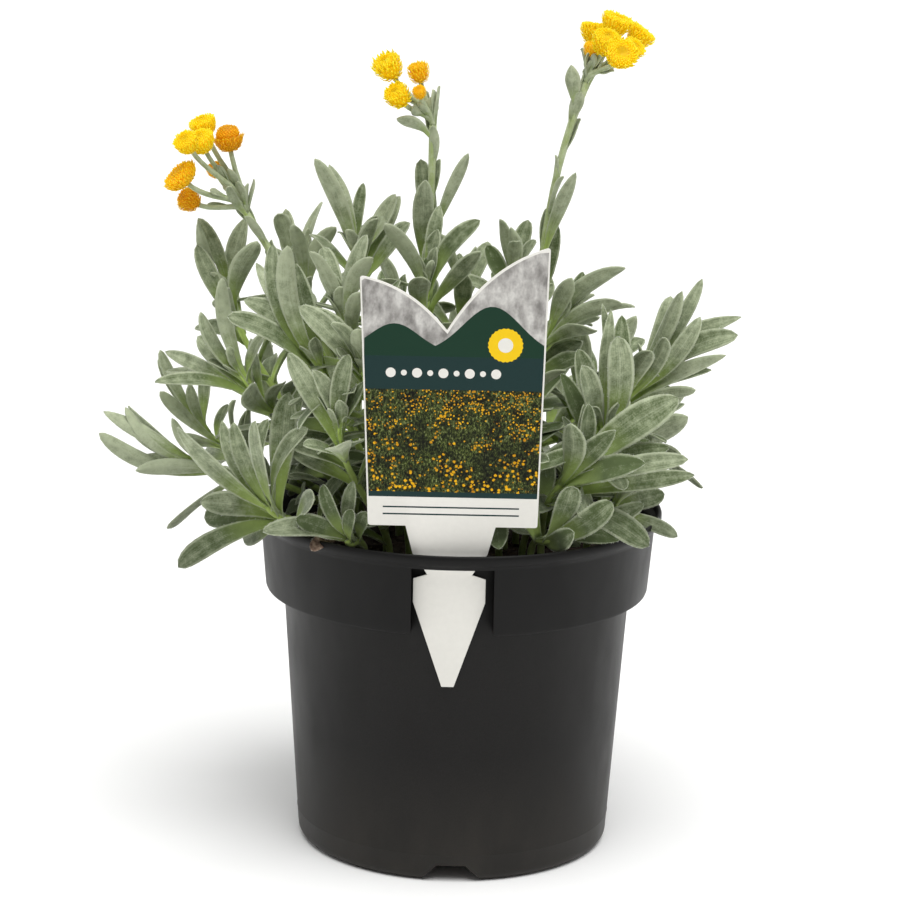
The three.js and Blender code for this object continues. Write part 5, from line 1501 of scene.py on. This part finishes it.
class PLANT_OT_shoots(bpy.types.Operator):
    """Makes the leafy shoots, one piece for each"""
    bl_idname = "plant.shoots"
    bl_label = "Leafy shoots"

    def execute(self, context):
        settings = context.scene.plant_foliage
        template = blade_template()
        skins = [
            felted_skin("felted leaf", settings, settings.green), wool_hair(),
            felted_skin("felted stem", settings, settings.stem), dried_skin()]
        for i, shoot in enumerate(SHOOTS):
            name = f"leafy_shoot_{i + 1:02d}"
            path = stem_path(shoot["root"], shoot["tip"], shoot["heading"])
            plans = shoot_plans(shoot, path, draws_from(1000 + i))
            draw = random.Random(7000 + i)
            growth = Growth()
            add_stem(growth, path, SHOOT_RADII, draw, foot=STEM_FOOT)
            grown = [leaf or first_with_room(plan) for plan, leaf in zip(plans, as_grown(name, plans))]
            add_leaves(growth, filter(None, grown), template, settings, draw)
            add_leaves(growth, infill_plans(shoot, path, draw), template, settings, draw)
            add_leaves(growth, added_plans(i + 1, path), template, settings, draw)
            if i + 1 == DRIED_SHOOT:
                add_leaf(growth, dried_leaf(), template, settings, draw, DRIED_SKIN)
            growth.made(f"shoot_{i + 1:02d}", skins, "felted_leaf", name)
        return {"FINISHED"}


class PLANT_OT_stalks(bpy.types.Operator):
    """Makes the flower stalks with their branches and leaves"""
    bl_idname = "plant.stalks"
    bl_label = "Flower stalks"

    def execute(self, context):
        settings = context.scene.plant_foliage
        template = blade_template()
        skins = [
            felted_skin("felted bract leaf", settings, settings.green, 0.96), wool_hair(),
            felted_skin("felted flower stalk", settings, settings.stem, 1.04)]
        for i, stalk in enumerate(STALKS):
            name = f"flower_stalk_{stalk['name']}"
            path = stem_path(stalk["root"], stalk["fork"], stalk["heading"])
            draw = random.Random(9000 + i)
            growth = Growth()
            add_stem(growth, path, STALK_RADII, draw, 12, 26, foot=STEM_FOOT, swell=0.25, bare=0.48)
            fork = np.array(stalk["fork"], float)
            for k, head in enumerate(stalk["heads"]):
                seat, axis = head_seat(f"{stalk['name']}_{k + 1}", head, fork)
                branch = branch_path(fork, seat, axis)
                add_stem(growth, branch, BRANCH_RADII, draw, 8, 12, bare=0.7)
                add_leaves(growth, branch_leaves(branch, k, draw), template, settings, draw)
            plans = stalk_plans(stalk, path, draws_from(500 + i))
            for leaf in filter(None, as_grown(name, plans)):
                leaf["width"] *= STALK_LEAF_FULLNESS if leaf["width"] > NARROW_LEAF else 1.0
                add_leaf(growth, {**leaf, "tone": 0.15}, template, settings, draw)
            add_leaves(growth, pressed_leaves(path, draw), template, settings, draw)
            growth.made(f"stalk_{stalk['name']}", skins, "felted_stalk", name)
        return {"FINISHED"}


# Leaves pressed along a stalk and its branches: how many and how far down, where on a
# branch, and spread, length, width, bend and roll between two values, and the stalk's tone
PRESSED_LEAVES = 8
PRESSED_DOWN = (2, 62)
PRESSED = ((5, 13), (11, 17), (2.6, 4.0), (0.15, 0.4), (-0.3, 0.3), (0.1, 0.7))
BRANCH_LEAVES = (0.06, 0.42)
ON_BRANCH = ((8, 20), (0.8, 1.1), (2.0, 3.2), (0.15, 0.4))
BRANCH_LEAF_LENGTH = 11


def pressed_leaves(path, draw):
    """Narrow leaves pressed along a flower stalk, closer together toward its fork."""
    for i in range(PRESSED_LEAVES):
        spot = place_on(path, mix(*PRESSED_DOWN, (i / (PRESSED_LEAVES - 1)) ** 1.3))
        *form, tone = drawn(draw, PRESSED)
        plan = leaf_plan(spot, 0.8 + i * GOLDEN_ANGLE, *form, youth=0.5, tone=tone)
        yield leaf_at(plan, AS_PLANNED)


def branch_leaves(branch, index, draw):
    """Narrow bract leaves pressed along a branch, from its foot and its middle."""
    for share in BRANCH_LEAVES:
        spot = {"base": branch.at(share), "axis": branch.heading(share)}
        spread, longer, width, bend = drawn(draw, ON_BRANCH)
        reach = min(branch.span * 0.55, BRANCH_LEAF_LENGTH) * longer
        azimuth = index * GOLDEN_ANGLE + share * 9
        yield leaf_at(leaf_plan(spot, azimuth, spread, reach, width, bend, 0.0, youth=0.7), AS_PLANNED)


# Flower heads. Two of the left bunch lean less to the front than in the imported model.
HEAD_LEAN = {"left_4": 0.05, "left_5": 0.1}


def head_seat(place, head, fork):
    x, y, z, radius = head[:4]
    centre = np.array([x, y, z], float)
    forward = HEAD_LEAN.get(place, HEAD_FORWARD)
    axis = unit(unit(centre - fork) + np.array([0, forward, HEAD_UPRIGHT]))
    return centre - axis * radius * 0.95, axis


# Half sections of a head in head radii: height and radius, from its foot to its crown. A
# head just opening is a ball, one fully open is a cup with a dimpled cushion, and an old
# one is a dome of florets over a bowl of bracts.
BALL_SECTION = [
    (-1.0, 0.16), (-0.88, 0.42), (-0.64, 0.68), (-0.32, 0.86), (-0.02, 0.93), (0.26, 0.92),
    (0.50, 0.83), (0.70, 0.66), (0.82, 0.45), (0.86, 0.24), (0.83, 0.07)]
CUP_SECTION = [
    (-1.0, 0.16), (-0.86, 0.36), (-0.60, 0.56), (-0.28, 0.76), (0.04, 0.92), (0.34, 1.02),
    (0.58, 0.95), (0.70, 0.74), (0.68, 0.50), (0.44, 0.27), (0.30, 0.07)]
DOME_SECTION = [
    (-1.0, 0.16), (-0.94, 0.44), (-0.78, 0.70), (-0.54, 0.88), (-0.28, 0.98), (-0.08, 0.98),
    (-0.02, 0.76), (0.30, 0.84), (0.64, 0.70), (0.86, 0.38), (0.92, 0.07)]
RIM_SHARE = 0.52
DOME_EDGE = 0.63
# Florets leave a hollow in a wide open head, and a head is a dome below this openness
WIDE_OPEN = 0.9
HOLLOW = 0.34
DOMED = -0.9
FULL_RADIUS = 4.4
# A bract's stations as shares of its length and width, and a floret's
BRACT_STATIONS = ((0.0, 0.75), (0.55, 1.0), (0.85, 0.6))
FLORET_STATIONS = ((0.0, 0.75), (0.7, 0.8), (1.0, 1.0))
FLORET_SIDES = 5
# Bracts in shares of the head: where the first stands, how far out they root and stand
# off, a fine one's length at the foot and the rim, and what a coarse one adds
FIRST_BRACT = 0.03
BRACT_ROOT = 0.92
BRACT_STAND = (0.08, 0.30)
BRACT_LENGTH = (0.32, 0.42)
BRACT_THICKNESS = 0.045
COARSE_STAND = 0.28
COARSE_RISE = 0.12
COARSE_LENGTH = 0.56
# How a bract flares at the rim, its width and its bow, for a fine and for a coarse one
BRACT_FLARE = (0.30, 0.18)
BRACT_WIDTH = (0.07, 0.10)
BRACT_BOW = (0.03, 0.07)
# Florets in shares of the head: how far out they root and how deep, their width, and
# their lean and length in the middle and at the edge
FLORET_ROOT = 0.95
FLORET_DEPTH = 0.06
FLORET_WIDTH = 0.062
FLORET_LEAN = (0.05, 0.75)
FLORET_LENGTH = (0.13, 0.30)
CORE_RINGS = 18
CORE_SIDES = 20
CORE_SHARE = 0.93

# How single heads depart from the common form: breadth, height, how open they are (below
# 0 for an old dome), how coarse and free their bracts stand, and their paper
HEAD_LOOKS = {
    "left_1": (1.05, 0.80, 0.2, 0.0, "yellow"), "left_2": (1.12, 0.82, 0.3, 0.0, "yellow"),
    "left_3": (1.06, 0.85, 0.2, 0.0, "yellow"), "left_4": (1.04, 1.06, -1.0, 0.1, "orange"),
    "left_5": (1.38, 0.68, -0.40, 0.0, "golden"), "left_6": (0.94, 0.92, -0.4, 0.5, "orange"),
    "left_7": (1.0, 1.0, 0.1, 0.3, "orange"), "middle_1": (0.96, 0.92, 0.3, 1.0, "yellow"),
    "middle_2": (0.96, 0.94, 0.3, 1.0, "yellow"), "middle_3": (0.96, 1.0, 0.0, 0.9, "golden"),
    "middle_4": (1.0, 1.0, 0.1, 0.6, "golden"), "right_1": (1.02, 0.95, 0.5, 0.5, "yellow"),
    "right_2": (1.08, 0.86, 0.8, 0.3, "yellow"), "right_3": (1.05, 0.90, 0.8, 0.5, "yellow"),
    "right_4": (1.00, 1.00, 0.3, 0.6, "yellow"), "right_5": (1.12, 0.90, 1.0, 0.4, "yellow"),
    "right_6": (1.00, 0.95, 0.6, 0.5, "yellow"), "right_7": (1.0, 1.0, 0.1, 0.5, "golden"),
}


def section_at(share, open_share):
    """Height, radius and upward way of the head's section at a share of the way up."""
    t = share * (len(BALL_SECTION) - 1)
    k = min(int(t), len(BALL_SECTION) - 2)
    other = CUP_SECTION if open_share > 0 else DOME_SECTION
    (h0, r0), (h1, r1) = (
        [mix(a, b, abs(open_share)) for a, b in zip(BALL_SECTION[i], other[i])] for i in (k, k + 1))
    return mix(h0, h1, t - k), mix(r0, r1, t - k), unit(np.array([r1 - r0, h1 - h0]))


def add_spike(growth, root, way, out, side, reach, wide, thick, tone, high, bow):
    """A slim pointed bract: a flattened spike that bows outward and ends in a point."""
    points, marks = [], []
    for share, width in BRACT_STATIONS:
        middle = root + way * reach * share + out * bow * math.sin(math.pi * share)
        points += [middle - side * wide * width, middle + out * thick * width, middle + side * wide * width]
        marks += [(tone, share, high)] * 3
    points.append(root + way * reach + out * bow * 0.1)
    marks.append((tone, 1.0, high))
    growth.add(points, tube_faces(len(BRACT_STATIONS), 3, pointed=True), marks)


def add_floret(growth, root, way, out, side, reach, wide, tone):
    """A floret of the cushion: a little five-sided tube that widens to a blunt end."""
    points, marks = [], []
    for share, width in FLORET_STATIONS:
        for k in range(FLORET_SIDES):
            arm = aside(out, side, k * TAU / FLORET_SIDES)
            points.append(root + way * reach * share + arm * wide * width)
            marks.append((tone, 0.55 + 0.45 * share, 1.0))
    points.append(root + way * reach * 0.9)
    marks.append((tone * 0.5, 0.6, 1.0))
    growth.add(points, tube_faces(len(FLORET_STATIONS), FLORET_SIDES, pointed=True), marks)


def add_core(growth, centre, axis, form):
    u, v = sides_of(axis)
    points, marks = [], []
    for i in range(CORE_RINGS):
        rise = i / (CORE_RINGS - 1)
        height, wide, _ = form(rise)
        for k in range(CORE_SIDES):
            arm = aside(u, v, k * TAU / CORE_SIDES)
            points.append(centre + axis * height + arm * wide * CORE_SHARE)
            marks.append((0.35 if i < CORE_RINGS - 4 else 0.0, 0.3, rise))
    growth.add(points, tube_faces(CORE_RINGS, CORE_SIDES), marks)


def add_head(growth, name, head, fork, settings, draw):
    """A head: a solid core, ranks of papery bracts pressed up its sides with their tips
    free, a fringe round the rim, and a cushion of florets that dips in the middle."""
    x, y, z, radius, _ = head
    axis = head_seat(name, head, fork)[1]
    u, v = sides_of(axis)
    broad, tall, open_share, coarse = HEAD_LOOKS[name][:4]
    centre = np.array([x, y, z], float) - axis * radius * (1 - tall)

    def form(share):
        height, wide, way = section_at(share, open_share)
        return height * radius * tall, wide * radius * broad, way

    add_core(growth, centre, axis, form)
    fullness = mix(0.55, 1.0, min(radius / FULL_RADIUS, 1))
    bracts = int(settings.bracts * fullness * mix(1.0, 0.62, coarse))
    last = RIM_SHARE + COARSE_RISE * coarse
    for i in range(bracts):
        rise = (i / bracts) ** 0.85
        height, wide, (outward, upward) = form(FIRST_BRACT + (last - FIRST_BRACT) * rise)
        arm = aside(u, v, i * GOLDEN_ANGLE + draw.uniform(-0.1, 0.1))
        around = np.cross(axis, arm)
        root = centre + axis * height + arm * wide * BRACT_ROOT
        flare = mix(*BRACT_FLARE, coarse) + max(-open_share, 0) * 1.1
        stand = draw.uniform(*BRACT_STAND) + flare * rise ** 4 + COARSE_STAND * coarse
        way = unit(axis * upward + arm * (outward + stand) + around * draw.uniform(-0.15, 0.15))
        out = unit(np.cross(way, around)) * -1
        reach = radius * mix(mix(*BRACT_LENGTH, rise), COARSE_LENGTH, coarse) * draw.uniform(0.8, 1.2)
        tone = draw.uniform(0.25, 1.0) * (1 + 0.6 * min(open_share, 0))
        wide, bow = radius * mix(*BRACT_WIDTH, coarse), radius * mix(*BRACT_BOW, coarse)
        high = 0.2 + 0.8 * rise
        add_spike(growth, root, way, out, around, reach, wide, radius * BRACT_THICKNESS, tone, high, bow)
    florets = int(settings.florets * fullness)
    hollow = HOLLOW if open_share > WIDE_OPEN else 0.0
    domed = open_share < DOMED
    edge, length = (DOME_EDGE, 0.6) if domed else (RIM_SHARE + 0.05, 1.0)
    for i in range(florets):
        spread = math.sqrt((i + 0.5) / florets)
        if spread < hollow:
            continue
        height, wide, _ = form(mix(1.0, edge, spread))
        arm = aside(u, v, i * GOLDEN_ANGLE)
        around = np.cross(axis, arm)
        root = centre + axis * (height - FLORET_DEPTH * radius) + arm * wide * FLORET_ROOT
        lean = mix(*FLORET_LEAN, spread ** 1.5)
        way = unit(axis + arm * lean + around * draw.uniform(-0.1, 0.1))
        side = unit(np.cross(way, arm))
        reach = radius * mix(*FLORET_LENGTH, spread) * draw.uniform(0.7, 1.3) * length
        tone = draw.uniform(0.5, 1.0) * (0.8 if domed else min(spread * 1.5, 1) ** 2)
        add_floret(growth, root, way, np.cross(side, way), side, reach, radius * FLORET_WIDTH, tone)


class PLANT_OT_heads(bpy.types.Operator):
    """Makes the button flower heads"""
    bl_idname = "plant.heads"
    bl_label = "Flower heads"

    def execute(self, context):
        settings = context.scene.plant_flowers
        papers = {
            shade: papery_bract(f"papery {shade} bract", tuple(getattr(settings, shade)))
            for shade in ("yellow", "golden", "orange")}
        for i, stalk in enumerate(STALKS):
            fork = np.array(stalk["fork"], float)
            for k, head in enumerate(stalk["heads"]):
                growth = Growth()
                place = f"{stalk['name']}_{k + 1}"
                add_head(growth, place, head, fork, settings, random.Random(300 + 20 * i + k))
                paper = papers[HEAD_LOOKS[place][4]]
                growth.made(f"head_{place}", [paper], f"floret_{head[4]}", f"flower_head_{place}")
        return {"FINISHED"}


# The stage's floor in metres, and its lamp: where it stands and points, and how soft it is
FLOOR_SIZE = 90
LAMP_PLACE = (0.25, -0.9, 2.2)
LAMP_WAY = (-0.14, 0.52, -1.35)
LAMP_SOFTNESS = math.radians(48)

# The camera stands where the photograph was taken from: millimetres, pixels and radians
CAMERA_DISTANCE = 1044.2
CAMERA_HEIGHT = 381.0
FOCAL_PIXELS = 3132.1
FRAME_PIXELS = 900
SENSOR = 36
ROLL = 0.0194
PAN = -0.0030
TILT = 0.2300


class PLANT_OT_stage(bpy.types.Operator):
    """Sets the pale floor, the soft light and the camera"""
    bl_idname = "plant.stage"
    bl_label = "Stage"

    def execute(self, context):
        settings = context.scene.plant_stage
        deselect()
        bpy.ops.mesh.primitive_plane_add(size=FLOOR_SIZE, location=(0, 0, 0))
        floor = context.object
        floor.name = "studio_floor"
        material, place = new_material("white studio paper")
        faint = node(material, "TexNoise", place, Scale=per(60), **PLAIN_NOISE)
        tooth = node(material, "ValToRGB", faint, stops=[(0.3, grey(0.995)), (0.7, grey(1.0))])
        base = node(material, "Mix", 1.0, tuple(settings.floor), tooth, **MULTIPLIED)
        finished(material, Base_Color=base, Roughness=0.9, Specular_IOR_Level=0.1)
        floor.data.materials.append(material)
        world = bpy.data.worlds.new("white room")
        world.use_nodes = True
        glow = world.node_tree.nodes["Background"]
        glow.inputs["Color"].default_value = (1, 1, 1, 1)
        # A white room that is darker on the photographer's side, as the pot's reflections show
        way = node(world, "TexCoord").outputs["Generated"]
        back = node(world, "SeparateXYZ", way).outputs["Y"]
        depth = node(world, "MapRange", back, -0.9, 0.2, 0.42 * settings.light, settings.light)
        world.node_tree.links.new(depth.outputs["Result"], glow.inputs["Strength"])
        context.scene.world = world
        # The photograph's plain tone curve, which leaves bright yellow and white as they are
        context.scene.view_settings.view_transform = "Standard"
        light = bpy.data.lights.new("overhead softbox", "SUN")
        light.energy = settings.overhead
        light.angle = LAMP_SOFTNESS
        lamp = bpy.data.objects.new("overhead softbox", light)
        context.scene.collection.objects.link(lamp)
        lamp.location = LAMP_PLACE
        lamp.rotation_euler = Vector(LAMP_WAY).to_track_quat("-Z", "Y").to_euler()
        add_camera(context)
        return {"FINISHED"}


def add_camera(context):
    ahead = Vector((
        math.sin(PAN) * math.cos(TILT), math.cos(PAN) * math.cos(TILT), -math.sin(TILT)))
    right = ahead.cross(Vector((0, 0, 1))).normalized()
    up = right.cross(ahead)
    turned = math.cos(ROLL) * right + math.sin(ROLL) * up
    upright = -math.sin(ROLL) * right + math.cos(ROLL) * up
    lens = bpy.data.cameras.new("camera")
    lens.sensor_width = SENSOR
    lens.lens = FOCAL_PIXELS / FRAME_PIXELS * SENSOR
    lens.clip_start = 0.05
    camera = bpy.data.objects.new("camera", lens)
    context.scene.collection.objects.link(camera)
    basis = Matrix((turned, upright, -ahead)).transposed().to_4x4()
    basis.translation = Vector((0, -CAMERA_DISTANCE, CAMERA_HEIGHT)) * MM
    camera.matrix_world = basis
    context.scene.camera = camera


class PLANT_PT_panel(bpy.types.Panel):
    bl_label = "Potted chrysocephalum"
    bl_idname = "PLANT_PT_panel"
    bl_space_type = "VIEW_3D"
    bl_region_type = "UI"
    bl_category = "Plant"

    def draw(self, context):
        for operator in STEPS:
            self.layout.operator(operator.bl_idname)
        for attribute, group in SETTINGS.items():
            column = self.layout.column(align=True)
            for key in group.__annotations__:
                column.prop(getattr(context.scene, attribute), key)


SETTINGS = {
    "plant_pot": PotSettings,
    "plant_label": LabelSettings,
    "plant_foliage": FoliageSettings,
    "plant_flowers": FlowerSettings,
    "plant_stage": StageSettings,
}
STEPS = [
    PLANT_OT_stage, PLANT_OT_pot, PLANT_OT_potting_mix, PLANT_OT_label, PLANT_OT_shoots, PLANT_OT_stalks,
    PLANT_OT_heads]
CLASSES = [*SETTINGS.values(), *STEPS, PLANT_PT_panel]


def register():
    for made in CLASSES:
        bpy.utils.register_class(made)
    for attribute, group in SETTINGS.items():
        setattr(bpy.types.Scene, attribute, bpy.props.PointerProperty(type=group))


def unregister():
    for attribute in SETTINGS:
        delattr(bpy.types.Scene, attribute)
    for made in reversed(CLASSES):
        bpy.utils.unregister_class(made)


def main():
    register()
    deselect()
    for operator in STEPS:
        getattr(bpy.ops.plant, operator.bl_idname.split(".")[1])()


if __name__ == "__main__":
    main()
